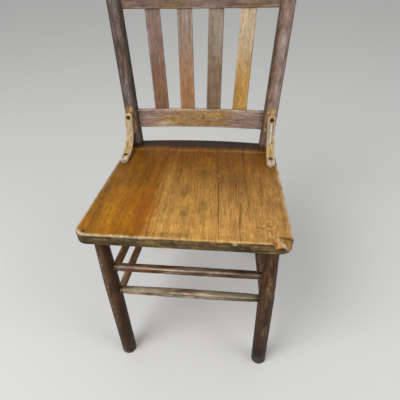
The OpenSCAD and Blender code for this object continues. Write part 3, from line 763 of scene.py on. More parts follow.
# Marks on the seat, measured across from the chair's middle and back from the front edge. Knots and chips
# have a half width, and stains and patches have their reach each way and their strength.
KNOTS = ((-0.013, 0.148, 0.011), (-0.004, 0.078, 0.012), (0.100, 0.250, 0.010))
STAINS = (
    ((0.090, 0.190), (0.050, 0.075), 0.30), ((0.025, 0.222), (0.022, 0.028), 0.38),
    ((-0.013, 0.148), (0.011, 0.030), 0.40), ((-0.004, 0.080), (0.013, 0.028), 0.42),
    ((0.032, 0.106), (0.013, 0.030), 0.36), ((0.172, 0.110), (0.020, 0.050), 0.25),
    ((-0.191, 0.013), (0.006, 0.007), 0.80), ((-0.182, 0.060), (0.008, 0.070), 0.40),
    ((0.109, 0.064), (0.0035, 0.060), 0.55), ((0.126, 0.112), (0.0035, 0.050), 0.50),
)
CHIPS = ((0.057, 0.216, 0.003), (-0.198, 0.010, 0.005), (-0.060, 0.060, 0.003))
GOLD_PATCHES = ((-0.165, 0.070), (0.030, 0.09), 0.7), ((-0.148, 0.165), (0.024, 0.08), 0.6)
TAN_STREAK, TAN_STREAK_REACH = (-0.053, 0.150), (0.009, 0.12)
BLOTCH, BLOTCH_REACH = (-0.088, 0.088), (0.030, 0.085)
SCUFF, SCUFF_REACH = (0.166, 0.045), (0.034, 0.030)
# The split corner: its ridge starts here, across and back, and runs forwards to the right.
SPLIT_X, SPLIT_FRONT = 0.179, 19 * MM
SPLIT_ALONG, SPLIT_ASIDE = (0.58, -0.81), (0.81, 0.58)


def stretched_to(stations, nominal, actual):
    """Moves stations between 0 and a nominal length to an actual one, keeping those near both ends."""
    keep = EDGE_STEPS[-1]
    inner = keep + (stations - keep) * (actual - 2 * keep) / (nominal - 2 * keep)
    high = actual - (nominal - stations)
    return np.where(stations <= keep, stations, np.where(stations >= nominal - keep, high, inner))


def roll_drop(distance, radius):
    """How far a rolled edge falls below its face, at a distance inside the outline."""
    short = np.clip(radius - distance, 0, radius)
    return radius - np.sqrt(radius ** 2 - short ** 2)


class BoardPlan:
    """A seat board's grid in plan, with each point's distance from the seat's outline and the glue lines."""

    def __init__(self, left, right, outer):
        depth = seat.rear(0) - seat.front
        width = right(seat.front) - left(seat.front)
        rows = spaced(0, depth, SEAT_GAP, EDGE_STEPS)[:, None]
        columns = spaced(0, width, SEAT_GAP, EDGE_STEPS)[None]
        y = seat.front + rows + 0 * columns
        for _ in range(3):
            span = right(y) - left(y)
            x = left(y) + stretched_to(columns, width, span)
            y = seat.front + stretched_to(rows, depth, seat.rear(x) - seat.front)
        from_left, from_right = x - left(y), right(y) - x
        self.front = y - seat.front
        inside = np.minimum(self.front, seat.rear(x) - y)
        # The left glue line is tight; the right one has opened along its middle.
        opened = ease_mm(self.front, 25, 60) * ease_mm(self.front, 300, 230)
        left_line, right_line = 0.12 + 0 * opened, 0.2 + 0.8 * opened
        self.glue = np.minimum(from_left, from_right)
        self.open = np.where(from_left < from_right, left_line, right_line)
        if outer:
            side = from_left if outer < 0 else from_right
            self.glue = from_right if outer < 0 else from_left
            self.open = left_line if outer < 0 else right_line
            inside = np.minimum(inside, side)
            x, y, inside = self.round_corners(x * outer, y, inside)
            x = x * outer
        self.x, self.y, self.inside, self.outer = x, y, inside, outer

    @staticmethod
    def round_corners(x, y, inside):
        """Moves the points near the seat's corners onto arcs."""
        for middle, radius, out_side, out_edge in seat.corners:
            offset = np.stack([x - middle[0], y - middle[1]], -1)
            a, b = offset @ out_side / radius, offset @ out_edge / radius
            far = np.maximum(a, b)
            moved = unit(offset + 1e-12) * (far * radius)[..., None]
            here = (a > 0) & (b > 0)
            x = np.where(here, middle[0] + moved[..., 0], x)
            y = np.where(here, middle[1] + moved[..., 1], y)
            inside = np.where(here, radius * (1 - far), inside)
        return x, y, np.maximum(inside, 0)


def grid_rim(rows, columns):
    """Numbers of a grid's border points, in order round it."""
    front = list(range(columns))
    right = [j * columns + columns - 1 for j in range(1, rows)]
    rear = [(rows - 1) * columns + i for i in range(columns - 2, -1, -1)]
    left = [j * columns for j in range(rows - 2, 0, -1)]
    return np.array(front + right + rear + left)


def slab(x, y, top, under, bulge):
    """Corners and faces of a closed slab between two height fields on one grid, with walls in strips."""
    rows, columns = x.shape
    count = x.size
    numbers = np.arange(count).reshape(rows, columns)
    quads = np.stack([numbers[:-1, :-1], numbers[:-1, 1:], numbers[1:, 1:], numbers[1:, :-1]], -1)
    quads = quads.reshape(-1, 4)
    rim = grid_rim(rows, columns)
    upper = np.stack([x, y, top], -1).reshape(-1, 3)
    lower = np.stack([x, y, under], -1).reshape(-1, 3)
    strips = [upper[rim] * (1 - t) + lower[rim] * t + bulge[i] for i, t in enumerate(WALL_SHARES)]
    corners = np.vstack([upper, lower, *strips])
    between = [2 * count + i * len(rim) + np.arange(len(rim)) for i in range(len(strips))]
    loops = [rim] + between + [rim + count]
    faces = quads.tolist() + (quads[:, ::-1] + count).tolist()
    for high, low in zip(loops, loops[1:]):
        faces += np.stack([high, low, np.roll(low, -1), np.roll(high, -1)], -1).tolist()
    return corners, faces


def split_corner(x, front, fray):
    """The corner at the front right has split off, and left two rough faces that meet in a ridge.

    Gives the height of its faces, where they lie and where their ridge runs.
    """
    from_start = np.stack([x - SPLIT_X, front - SPLIT_FRONT], -1)
    run, aside = from_start @ SPLIT_ALONG, from_start @ SPLIT_ASIDE
    fall = 0.8 * MM + 0.20 * np.maximum(run, 0) + np.where(aside > 0, 0.14, -0.42) * aside + 0.5 * MM * fray
    within = (x > 0.172 + 3 * MM * fray) & (front < 23 * MM + 1.5 * MM * fray)
    broken = np.where(within, seat.top - np.maximum(fall, 0.3 * MM), 1)
    ridge_line = ease_mm(abs(aside + 0.8 * MM * fray), 1.8, 0.5) * within * (run > -2 * MM)
    return broken, within, ridge_line


def wall_bulge(plan, fray):
    """How far each strip of a board's walls swells inwards where it shows, at each point of the rim."""
    rim = grid_rim(*plan.x.shape)
    x, y = plan.x.ravel()[rim], plan.y.ravel()[rim]
    centre = np.array((plan.x.mean(), plan.y.mean(), 0))
    inward = unit(centre - np.stack([x, y, 0 * x], -1)) * (1, 1, 0)
    shown = ease_mm(plan.inside.ravel()[rim], 1, 0)[:, None]
    rough = [0.30 * MM * (1 + fray.ravel()[rim][:, None] * swell) for swell in WALL_SWELLS]
    return [inward * shown * np.maximum(depth, 0) for depth in rough]


def board_grain(corners, skew):
    """The wood's grain, which runs from front to back, a little askew and round the knots."""
    front = corners[:, 1] - seat.front
    grain = np.stack([corners[:, 0] - skew * front, corners[:, 2], corners[:, 1]], -1)
    for x_knot, y_knot, wide in KNOTS:
        across, along = corners[:, 0] - x_knot, front - y_knot
        grain[:, 0] -= 0.9 * across * np.exp(-(across / wide) ** 2 - (along / (2.6 * wide)) ** 2)
    return grain


def seat_board(left, right, outer, seed):
    """One board of the seat: rolled edges, hollow, knocked front arris and slightly open glue lines."""
    sizes = bpy.context.scene.chair_sizes
    plan = BoardPlan(left, right, outer)
    x, y = plan.x, plan.y
    probe = probe_at(np.stack([x, 0 * x, y], -1), seed)
    waves = probe.lumps(60, 110, 1).reshape(x.shape)
    fray = probe.lumps(7, 7, 2, 4).reshape(x.shape)
    bites = probe.lumps(22, 22, 3).reshape(x.shape)

    at_front = ease_mm(plan.front, 26, 10)
    roll = sizes.seat_side_roll + (sizes.seat_front_roll - sizes.seat_side_roll) * at_front
    top = seat.top - roll_drop(plan.inside, roll)
    middle_y = (seat.front + seat.rear(0)) / 2
    t = np.clip(np.hypot(x, y - middle_y) / sizes.seat_hollow_reach, 0, 1)
    top = top - sizes.seat_hollow * (1 - t * t) ** 2
    top = top - WAVE_DEPTH * (1 + waves) * ease_mm(plan.inside, 0, 20)
    groove = ease_mm(plan.glue, 1.5, 0.3) * plan.open
    top = top - GROOVE_DEPTH * groove
    # Knocks and splinters along the front arris and, more lightly, along the sides.
    arris = ease_mm(plan.inside, 8, 1)
    knocked = arris * ease(bites, 0.10, 0.62) * (0.35 + 0.65 * at_front)
    top = top - knocked * (KNOCK_DEPTH + fray * MM)
    broken, within, ridge_line = split_corner(x, plan.front, fray)
    split = (top - broken) / MM
    top = np.minimum(np.minimum(top, broken), seat.top)
    crack = within * ease_mm(plan.front, 18.5, 21)
    under = seat.under + roll_drop(plan.inside, sizes.seat_under_roll)
    under = under + 0.12 * MM * (1 + fray) * ease_mm(plan.inside, 0, 5)

    corners, faces = slab(x, y, top, under, wall_bulge(plan, fray))
    skew = (left.slope + right.slope) / 2 * 0.8
    skin = Skin(corners, faces, board_grain(corners, skew), seed)

    def on_all(values, wall=0.0):
        """A value for every corner, from those of the top's grid and one for the underside and the walls."""
        return np.append(values.ravel(), np.full(len(corners) - values.size, wall))

    skin.top = on_all(np.ones(x.shape))
    skin.inside = on_all(plan.inside)
    skin.fallen = on_all(roll_drop(plan.inside, roll), 9 * MM)
    skin.front = corners[:, 1] - seat.front
    skin.knocked = on_all(knocked)
    skin.split = on_all(ease(split, 0, 0.5))
    skin.ridge = on_all(ridge_line)
    skin.crack = on_all(crack)
    skin.groove = on_all(groove)
    return skin


def paint_seat(skin, shade):
    """Amber varnish, paler in front and browner behind, partly as painted shade, with a rear rim darkened
    with painted shade and a grimy front edge.
    """
    drift = skin.lumps(45, 120, 5)
    streak = skin.lumps(9, 160, 6)
    patch = skin.lumps(16, 20, 9, 3)
    wall = ease_mm(skin.fallen, 1.3, 2.2)
    paint_seat_top(skin, shade, drift, streak, patch)
    paint_seat_walls(skin, wall, patch)
    paint_worn_edges(skin, wall, patch)
    wear_seat(skin, wall, drift, patch)


def paint_seat_top(skin, shade, drift, streak, patch):
    """The boards' own colours, with the seat's stains, chips and scuffs, and its rear rim darkened with
    painted shade.
    """
    x, front = skin.points[:, 0], skin.front
    places = (x, front)
    from_left = x - seat.glue[0](skin.points[:, 1])
    from_right = x - seat.glue[1](skin.points[:, 1])
    skin.stained("seat_amber")
    skin.stained("seat_tan", ease_mm(from_left + 10 * MM * streak, -26, 24))
    skin.stained("seat_umber", ease_mm(from_right + 8 * MM * streak, -20, 16))
    for place, reach, amount in GOLD_PATCHES:
        skin.stained("seat_gold", amount * spot(places, place, reach))
    # Browner towards the rear: darker varnish, and painted shade.
    skin.stained("seat_brown", ease_mm(front + 22 * MM * drift, 15, 325))
    skin.stained("seat_red", 0.9 * spot(places, BLOTCH, BLOTCH_REACH) * (1 + 0.4 * patch))
    skin.stained("seat_tan", 0.45 * spot(places, TAN_STREAK, TAN_STREAK_REACH))
    for place, reach, amount in STAINS:
        skin.stained("seat_dirt_and_shade", amount * spot(places, place, reach) * (1 + 0.7 * patch))
    fleck = skin.lumps(3.5, 6, 10, 3)
    scuffed = spot(places, SCUFF, SCUFF_REACH) * skin.top
    skin.stained("seat_dirt_and_shade", 0.55 * scuffed * ease(fleck, -0.05, 0.40))
    skin.stained("gold_wear_and_highlight", 0.40 * scuffed * ease(fleck, -0.10, -0.45))
    for x_chip, y_chip, wide in CHIPS:
        skin.stained("pale_wear_and_highlight", 0.7 * spot(places, (x_chip, y_chip), (wide, 1.3 * wide)))
    beside = skin.top * ease_mm(abs(skin.inside - 12 * MM), 12, 3) * ease_mm(front, 6, 40)
    beside = beside * ease_mm(front, 345, 300) * ease(patch + 0.5 * drift, -0.5, 0.4)
    skin.stained("side_dust", beside * np.where(x < 0, 0.75, 0.45))
    skin.shaded(shade * (1 + 0.16 * streak + 0.10 * patch))
    # The rear rim, darkened with painted shade, with a paler line before it.
    rim = skin.top * ease_mm(front + 5 * MM * drift, 326, 346)
    skin.stained("seat_dirt_and_shade", 0.94 * rim)
    pale = skin.top * ease_mm(abs(front - 0.322 + 3 * MM * drift), 6, 1) * ease(drift, -0.35, 0.25)
    skin.stained("seat_tan", 0.30 * pale)


def paint_seat_walls(skin, wall, patch):
    """Grimy end grain and side grain below the rounded top corner of the edges."""
    x, height = skin.points[:, 0], skin.points[:, 2]
    banks = lumps_at(skin.points, (38 * MM, 38 * MM, 5 * MM), 3, 4)
    skin.stained("edge_brown", wall)
    skin.stained("edge_dark", wall * ease(banks + 0.35 * patch, -0.35, 0.35))
    skin.stained("edge_dark", 0.45 * wall * ease(x, -0.02, -0.08))
    skin.stained("gold_wear_and_highlight", 0.30 * wall * ease(banks - 0.4 * patch, -0.30, -0.75))
    skin.stained("gold_wear_and_highlight", 0.11 * wall * ease(abs(x), 0.13, 0.06))
    # The split corner's ridge runs on down the edge, and the wood right of it is paler.
    beyond = x - 0.190 - 0.8 * (seat.top - 4.5 * MM - height)
    at_corner = wall * (x > 0.18) * ease_mm(skin.front, 30, 15)
    skin.stained("seat_umber", 0.75 * at_corner * ease_mm(beyond, 0, 1.5))
    skin.stained("pale_wear_and_highlight", 0.85 * at_corner * ease_mm(abs(beyond), 1.8, 0.6))
    skin.stained("seat_brown", 0.8 * wall * ease(height, seat.under + 2 * MM, seat.under))


def paint_worn_edges(skin, wall, patch):
    """The pale line along the top corner of the edges, worn wood with a painted highlight, whitest at the
    front left.
    """
    x, front = skin.points[:, 0], skin.front
    beside_line = skin.top * ease_mm(skin.inside, 9, 5) * ease(front, 0.3, 0.2)
    skin.stained("seat_gold", 0.5 * beside_line * (1 - wall))
    # The line along the rolled corner: worn wood and a painted highlight.
    line = skin.top * ease_mm(abs(skin.fallen - 0.9 * MM), 0.9, 0.3)
    strength = ease(patch, -0.75, 0.15) * np.where(front < 14 * MM, 1.0, 0.85)
    line = line * strength * ease_mm(front, 345, 320) * (1 - skin.split * (front < 12 * MM))
    pale_line = 0.30 + 0.65 * ease(x, 0.00, -0.08)
    skin.stained("gold_wear_and_highlight", line * (1 - pale_line))
    skin.stained("pale_wear_and_highlight", line * pale_line)
    # Further pale lines along the front and the sides: worn wood and a painted highlight.
    along_front = skin.top * (front < 14 * MM) * (1 - skin.split) * strength
    skin.stained("gold_wear_and_highlight", 0.55 * along_front * ease_mm(abs(skin.inside - 4 * MM), 3, 1.2))
    low_line = ease(x, -0.03, -0.09) * ease_mm(abs(skin.fallen - 1.7 * MM), 1.3, 0.6)
    skin.stained("pale_wear_and_highlight", 0.6 * along_front * low_line)
    along_side = skin.top * ease_mm(skin.inside, 7, 3) * ease_mm(front, 12, 18)
    along_side = along_side * ease_mm(front, 330, 300) * ease(patch, -0.9, 0.0)
    skin.stained("pale_wear_and_highlight", along_side * np.where(x < 0, 0.50, 0.55))


def wear_seat(skin, wall, drift, patch):
    """Raw wood in the knocks and the split corner, and dirt along the glue lines and the walls."""
    x = skin.points[:, 0]
    skin.bare = 0.50 * skin.knocked * ease(patch, -0.4, 0.3)
    skin.bare = skin.bare * (1 - skin.split) * ease(x, 0.18, 0.16)
    skin.bare = np.maximum(skin.bare, 0.52 * skin.split * ease(patch, -0.2, 0.5))
    skin.stained("seat_umber", 0.85 * skin.split)
    skin.stained("edge_dark", 0.45 * skin.split * ease(patch, 0.2, -0.3))
    skin.stained("pale_wear_and_highlight", 0.95 * skin.ridge)
    skin.stained("seat_dirt_and_shade", 0.85 * skin.crack)
    skin.grime_and_shade = np.maximum(0.8 * skin.groove, 0.5 * wall * ease(skin.lumps(14, 14, 8), -0.1, 0.6))
    band = skin.top * ease_mm(abs(skin.inside - 13 * MM), 10, 2) * ease(drift + 0.5 * patch, -0.1, 0.5)
    skin.grime_and_shade = np.maximum(skin.grime_and_shade, 0.35 * band)


# ---- Turned pieces ----


def leg(node, seed):
    """A turned leg with a worn bevel round its foot, whose end lies flat on the floor."""
    sizes = bpy.context.scene.chair_sizes
    points = cad_points(node)
    low = end_middle(points, -Z_AXIS)
    # The foot is cut askew to the leg, so the axis is found from the tenon's end, ever more closely.
    high = points[np.argmax(points[:, 2])]
    for depth in (6 * MM, 2 * MM, RING_DEPTH):
        high = end_middle(points, unit(high - low), depth)
    slope = unit(high - low)[2]
    top = (seat.under + 2 * MM - low[2]) / slope
    # A leg only narrows upwards, so corners inside its sockets are passed over.
    heights = spaced(0, top, 6 * MM)
    widths = np.maximum.accumulate(turned_radius(node, low, high)(heights)[::-1])[::-1]
    bevel = sizes.foot_bevel
    reach = np.array((0, 0.12, 0.3, 0.6, 1.0, 1.4)) * bevel
    stations = np.concatenate([reach, spaced(6 * MM, top, LEG_GAP)])

    def radius(s):
        """The turned radius, less the worn bevel round the foot."""
        short = np.clip(1 - s / (1.4 * bevel), 0, 1)
        return np.interp(s, heights, widths) - 0.9 * bevel * (1 - np.sqrt(1 - short ** 2))

    skin = turned_skin(low, high, radius, stations, seed, Z_AXIS, dent=sizes.dent)
    skin.stained("leg_brown")
    drift = skin.lumps(20, 70, 5)
    run = skin.grain[:, 2]
    skin.stained("leg_red", 0.75 * ease(drift, -0.1, 0.6))
    fine = skin.lumps(8, 40, 6, 3)
    ridge = skin.facing @ unit((-0.30, -0.95, 0) if low[0] < 0 else (0.06, -0.99, 0))
    dots = skin.lumps(3, 7, 7, 2)
    height = ease(run, 0.05, 0.17)
    # A painted highlight: a paler band along the side of the leg that faces the front.
    skin.stained("leg_lit_ridge", 0.42 * ease(ridge, 0.60, 0.98) * ease(fine, -0.9, 0.5) * height)
    # Painted shade: darker away from that side, as round shading.
    skin.shaded(0.70 + 0.34 * ease(ridge, 0.0, 0.9))
    # Pale specks along that band: a painted highlight in specks, with worn wood.
    specks = ease(ridge, 0.95, 0.995) * ease(dots + 0.4 * fine, 0.22, 0.50) * height * ease(run, 0.40, 0.33)
    skin.stained("pale_wear_and_highlight", 0.36 * specks)
    foot_shade = 0.55 if low[0] < 0 else 0.40
    skin.shaded((foot_shade + (0.92 - foot_shade) * ease(run, 0.02, 0.28)) * (1 + 0.25 * fine))
    skin.stained("bloom", 0.16 * ease_mm(run, 42, 10) * ease(fine, -1.0, 0.3))
    skin.bare = 0.28 * ease(skin.knocks, 0.35, 1.0) + 0.22 * ease(ridge, 0.93, 1.0) * ease(drift, -0.3, 0.4)
    skin.bare = np.maximum(skin.bare, 0.55 * ease_mm(run, 9, 1))
    # Dirt and painted shade at the top under the seat, and darker at the foot.
    skin.grime_and_shade = 0.55 * ease(run, top - 14 * MM, top) + 0.35 * ease_mm(run, 30, 5)
    skin.build(node, "dark_varnish", "leg_varnish")


def post(node, seed, tint, lightness):
    """A round post of the back with a rounded top, let in flat behind its hip brace."""
    sizes = bpy.context.scene.chair_sizes
    low, high = axis_ends(node)
    direction = unit(high - low)
    foot = low + direction * (seat.top - 8 * MM - low[2]) / direction[2]
    length = np.linalg.norm(high - foot)
    body = np.median([turned_radius(node, low, high)(s) for s in np.linspace(0.12, 0.35, 9)])
    crown = sizes.post_top_round
    bends = [length - crown * (1 - sin(radians(angle))) for angle in (15, 30, 45, 58, 70, 80)]
    brace_x, ledge = brace_top(node)
    stations = np.concatenate([spaced(0, length - crown, LEG_GAP), bends, [length, length, length]])

    def radius(s):
        """The post's own radius, rounded over at the top, where the last two rings close the end."""
        over = np.clip(s - (length - crown), 0, crown)
        r = body - crown + np.sqrt(np.maximum(crown ** 2 - over ** 2, 0))
        inner = np.arange(len(s)) - (len(s) - 3)
        return np.where(inner == 1, 0.6 * r, np.where(inner == 2, 0.2 * r, r))

    skin = turned_skin(foot, high, radius, stations, seed, dent=sizes.dent)
    x, v, w = back.local(skin.points)
    flat = -(body - sizes.brace_let_in)
    here = (w < ledge) & (v < flat)
    skin.points = np.where(here[:, None], back.place(x, np.full_like(v, flat), w), skin.points)
    # The base tint; the left post's grey is partly a painted sheen.
    skin.stained(tint)
    drift = skin.lumps(16, 60, 5)
    skin.stained("post_brown", 0.7 * ease(drift, 0.0, 0.6))
    skin.stained("leg_brown", 0.45 * ease(skin.lumps(10, 22, 6), 0.1, 0.6))
    fine = skin.lumps(7, 50, 7, 3)
    ridge = skin.facing @ unit((0.05 if low[0] < 0 else 0.32, -0.94, 0.2))
    # A painted lilac sheen along the side that faces the front.
    skin.stained("post_lilac_sheen", 0.75 * ease(ridge, 0.72, 0.98) * ease(fine, -0.6, 0.4))
    # Painted shade: darker away from that side, as round shading.
    skin.shaded(lightness * (1 + 0.20 * fine) * (0.50 + 0.60 * ease(ridge, 0.1, 0.95)))
    aside = abs(x) - abs(brace_x)
    over_brace = ease_mm(np.hypot(aside, w - ledge - 3 * MM), 14, 9) * (w > ledge)
    beside = 0.6 * ease_mm(abs(aside + 13 * MM), 5, 2) * ease_mm(abs(w - ledge + 20 * MM), 28, 16)
    band = np.maximum(over_brace, beside) * ease(skin.facing @ back.back, 0.1, -0.5)
    skin.stained("brace_amber", 0.80 * band * ease(fine, -0.8, 0.0))
    skin.bare = 0.26 * ease(skin.knocks, 0.35, 1.0) + 0.30 * band + 0.20 * ease(ridge, 0.9, 1.0)
    skin.bare = np.maximum(skin.bare, 0.4 * ease(w, length - 16 * MM, length))
    # Dirt and painted shade where the post meets the seat.
    skin.grime_and_shade = 0.75 * ease_mm(w, 12, 1)
    skin.build(node, "dark_varnish", "post_varnish")


def stretcher(node, seed, tint, rubbed, wear):
    """A swelled stretcher, rubbed paler on top by feet and paler there with painted light, with a painted
    highlight along its crown and painted shade below.
    """
    sizes = bpy.context.scene.chair_sizes
    low, high = axis_ends(node)
    length = np.linalg.norm(high - low)
    measured = turned_radius(node, low, high)
    stations = spaced(8 * MM, length - 8 * MM, BAR_GAP)
    skin = turned_skin(low, high, measured, stations, seed, around=44, dent=0.8 * sizes.dent)
    drift = skin.lumps(14, 60, 5)
    above = skin.facing @ (0, -0.8, 0.8)
    skin.stained(tint)
    # The upper side is paler: rubbed by feet, and painted light from above.
    skin.stained(rubbed, ease(above, -0.2, 0.9) * ease(drift, -0.6, 0.3))
    fine = skin.lumps(6, 50, 6, 3)
    # A painted highlight along the crown.
    crown = ease(skin.facing @ unit((0, -0.68, 0.73)), 0.965, 0.997)
    skin.stained("pale_wear_and_highlight", 0.72 * crown * ease(fine, -1.0, -0.1))
    # Painted shade on the underside.
    skin.stained("leg_brown", 0.75 * ease(above, -0.25, -0.8))
    skin.shaded((1 + 0.3 * fine) * (1 - 0.42 * ease(skin.points[:, 0], 0.0, 0.12)))
    run = skin.grain[:, 2]
    ends = np.minimum(run, length - run)
    skin.bare = wear * ease(above, 0.0, 0.9) * ease(drift, -0.5, 0.5) + 0.25 * ease(skin.knocks, 0.4, 1.0)
    # Dirt and painted shade near the legs and on the underside.
    skin.grime_and_shade = 0.6 * ease_mm(ends, 26, 15) + 0.4 * ease(above, 0.1, -0.8)
    skin.build(node, "rubbed_varnish", "stretcher_varnish")


# ---- Rails, slats and braces ----

# Depth and lump sizes, in millimetres, of the hollows along a bar and of the knocks on its edges, and the
# least noise that makes a knock.
RAIL_HOLLOWS, RAIL_KNOCKS = (0.35, 25, 90), (1.1, 9, 14, 0.25)
SLAT_HOLLOWS, SLAT_KNOCKS = (0.3, 18, 80), (0.8, 8, 16, 0.3)
# Depth of the dark hollows round the brace screws, of the braces' own hollows and of their knocks.
RECESS_DEPTH = 1.9 * MM
BRACE_HOLLOW_DEPTH = 0.25 * MM
BRACE_KNOCK_DEPTH = 0.8 * MM
# Marks on the lower rail, across from the chair's middle and up the back: the golden and tan patches, the
# worn patches and the scratch with their reach, and the pale dots.
RAIL_GOLD = (-0.075, 0.056), (0.045, 0.018)
RAIL_TAN = (0.03, 0.074), (0.06, 0.010)
RAIL_WORN = ((-0.100, 0.050), (0.040, 0.012)), ((-0.061, 0.068), (0.022, 0.006))
RAIL_SCRATCH = (0.008, 0.070), (0.003, 0.012)
RAIL_DOTS = (-0.029, 0.057), (0.013, 0.078), (0.045, 0.076), (0.040, 0.066)
RAIL_DOT_REACH = 0.004, 0.0022


def rail_levels(node):
    """Bottom and top of a rail along the back, its thickness, and its bend as a polynomial in x squared."""
    x, v, w = back.local(cad_points(node))
    plain = w.min() if node == "lower_rail" else w.max()
    on_edge = abs(w - plain) < 0.2 * MM
    bend = np.polyfit(x[on_edge] ** 2, v[on_edge], 2)
    face = v[on_edge] - np.polyval(bend, x[on_edge] ** 2)
    return w.min(), w.max(), 2 * np.median(abs(face)), bend


def rail(node, seed, paint):
    """A bowed rail between the posts."""
    sizes = bpy.context.scene.chair_sizes
    low, high, thick, bend = rail_levels(node)
    middle = (low + high) / 2
    post_low, post_high = axis_ends("right_post")
    x_low, _, w_low = back.local(post_low)
    x_high, _, w_high = back.local(post_high)
    half = x_low + (middle - w_low) * (x_high - x_low) / (w_high - w_low) - 10 * MM
    x = spaced(-half, half, BAR_GAP)
    v = np.polyval(bend, x ** 2)
    centres = back.place(x, v, np.full_like(x, middle))
    tangent = unit(np.gradient(centres, axis=0))
    through = np.cross(back.up, tangent)
    outline, edge = rounded_outline(thick, high - low, sizes.rail_edge, BAR_GAP)
    skin = knocked_bar(x, centres, through, back.up, outline, edge, seed, RAIL_HOLLOWS, RAIL_KNOCKS)
    paint(skin)
    line = skin.edge * ease(skin.lumps(6, 60, 8, 3), -0.6, 0.4)
    skin.stained("pale_wear_and_highlight", (0.55 if node == "lower_rail" else 0.28) * line)
    skin.build(node, "rail_varnish", "rail_varnish")


def paint_lower_rail(skin):
    """Grey bloom at both ends, brown between, a pale worn patch at the left and a dark scratch."""
    x, _, w = back.local(skin.points)
    drift = skin.lumps(12, 60, 5)
    skin.stained("rail_mauve")
    skin.stained("rail_brown", ease(x + 20 * MM * drift, -0.11, -0.03) * ease(x, 0.10, 0.05))
    skin.stained("slat_gold", 0.7 * spot((x, w), *RAIL_GOLD))
    skin.stained("seat_tan", 0.35 * spot((x, w), *RAIL_TAN))
    skin.stained("slat_grey_top", 0.65 * ease(x, 0.07, 0.12) * ease(drift, -0.5, 0.5))
    skin.shaded(1 + 0.14 * skin.lumps(4, 70, 6))
    patch = skin.lumps(5, 14, 9, 3)
    worn = sum(spot((x, w), middle, reach) for middle, reach in RAIL_WORN)
    skin.stained("pale_wear_and_highlight", 0.85 * worn * ease(patch, -0.05, 0.25))
    for dot in RAIL_DOTS:
        skin.stained("pale_wear_and_highlight", 0.8 * spot((x, w), dot, RAIL_DOT_REACH))
    skin.stained("leg_brown", 0.7 * spot((x, w), *RAIL_SCRATCH))
    skin.bare = np.maximum(0.55 * worn, 0.45 * skin.knocked) + 0.22 * skin.edge * ease(drift, -0.4, 0.5)
    post_near = ease(abs(x), 0.135, 0.152)
    # Dirt and painted shade near the posts, and mottled dirt.
    skin.grime_and_shade = 0.5 * post_near + 0.2 * ease(skin.lumps(10, 30, 7), 0.2, 0.7)


def paint_crest_rail(skin):
    """Mottled brown and mauve, darker than the lower rail."""
    x, _, w = back.local(skin.points)
    drift = skin.lumps(14, 70, 5)
    skin.stained("rail_mauve")
    skin.stained("rail_brown", ease(drift, -0.2, 0.5))
    skin.shaded(0.55 + 0.18 * skin.lumps(5, 80, 6))
    skin.bare = 0.25 * skin.edge * ease(drift, -0.4, 0.5) + 0.5 * skin.knocked
    # Dirt and painted shade near the posts, and a dark spot.
    skin.grime_and_shade = 0.5 * ease(abs(x), 0.165, 0.18) + 0.35 * spot((x, w), (-0.020, 0.319), (0.006, 0.012))


def bar_ends(node):
    """The two end middles of a straight bar and its unit width direction, with its width and thickness."""
    low, high = axis_ends(node)
    points = cad_points(node)
    direction = unit(high - low)
    end = points[(points - low) @ direction < 1 * MM]
    first = end[0]
    steps = sorted((np.linalg.norm(p - first), tuple(p - first)) for p in end[1:])
    (thick, _), (wide, step) = steps[:2]
    across = np.array(step) - direction * (np.array(step) @ direction)
    return low, high, unit(across) * np.sign(across[0]), wide, thick


def slat(node, seed, tint):
    """A flat straight slat, of one colour below and bloomed above."""
    sizes = bpy.context.scene.chair_sizes
    low, high, across, wide, thick = bar_ends(node)
    direction = unit(high - low)
    length = np.linalg.norm(high - low)
    run = spaced(5 * MM, length - 5 * MM, BAR_GAP)
    centres = low + run[:, None] * direction
    through = np.cross(direction, across)
    outline, edge = rounded_outline(wide, thick, sizes.slat_edge, SEAT_GAP)
    skin = knocked_bar(run, centres, across, through, outline, edge, seed, SLAT_HOLLOWS, SLAT_KNOCKS)
    _, _, w = back.local(skin.points)
    drift = skin.lumps(10, 70, 5)
    skin.stained(tint)
    skin.stained(tint + "_top", ease(w + 30 * MM * drift, 0.14, 0.27))
    skin.stained("bloom", 0.30 * skin.edge * ease(drift, -0.7, 0.3))
    skin.shaded(1 + 0.12 * skin.lumps(4, 90, 6))
    skin.bare = 0.20 * skin.edge * ease(drift, -0.4, 0.5) + 0.4 * skin.knocked
    # Dirt and painted shade near the rails at both ends.
    skin.grime_and_shade = 0.35 * ease(w, 0.100, 0.088) + 0.30 * ease(w, 0.302, 0.311)
    skin.build(node, "slat_varnish", "slat_varnish")


def brace_top(node):
    """The middle of the hip brace on a post, across the chair, and how far up the back it reaches."""
    x, _, w = back.local(cad_points(node.replace("post", "hip_brace")))
    return (x.min() + x.max()) / 2, w.max()


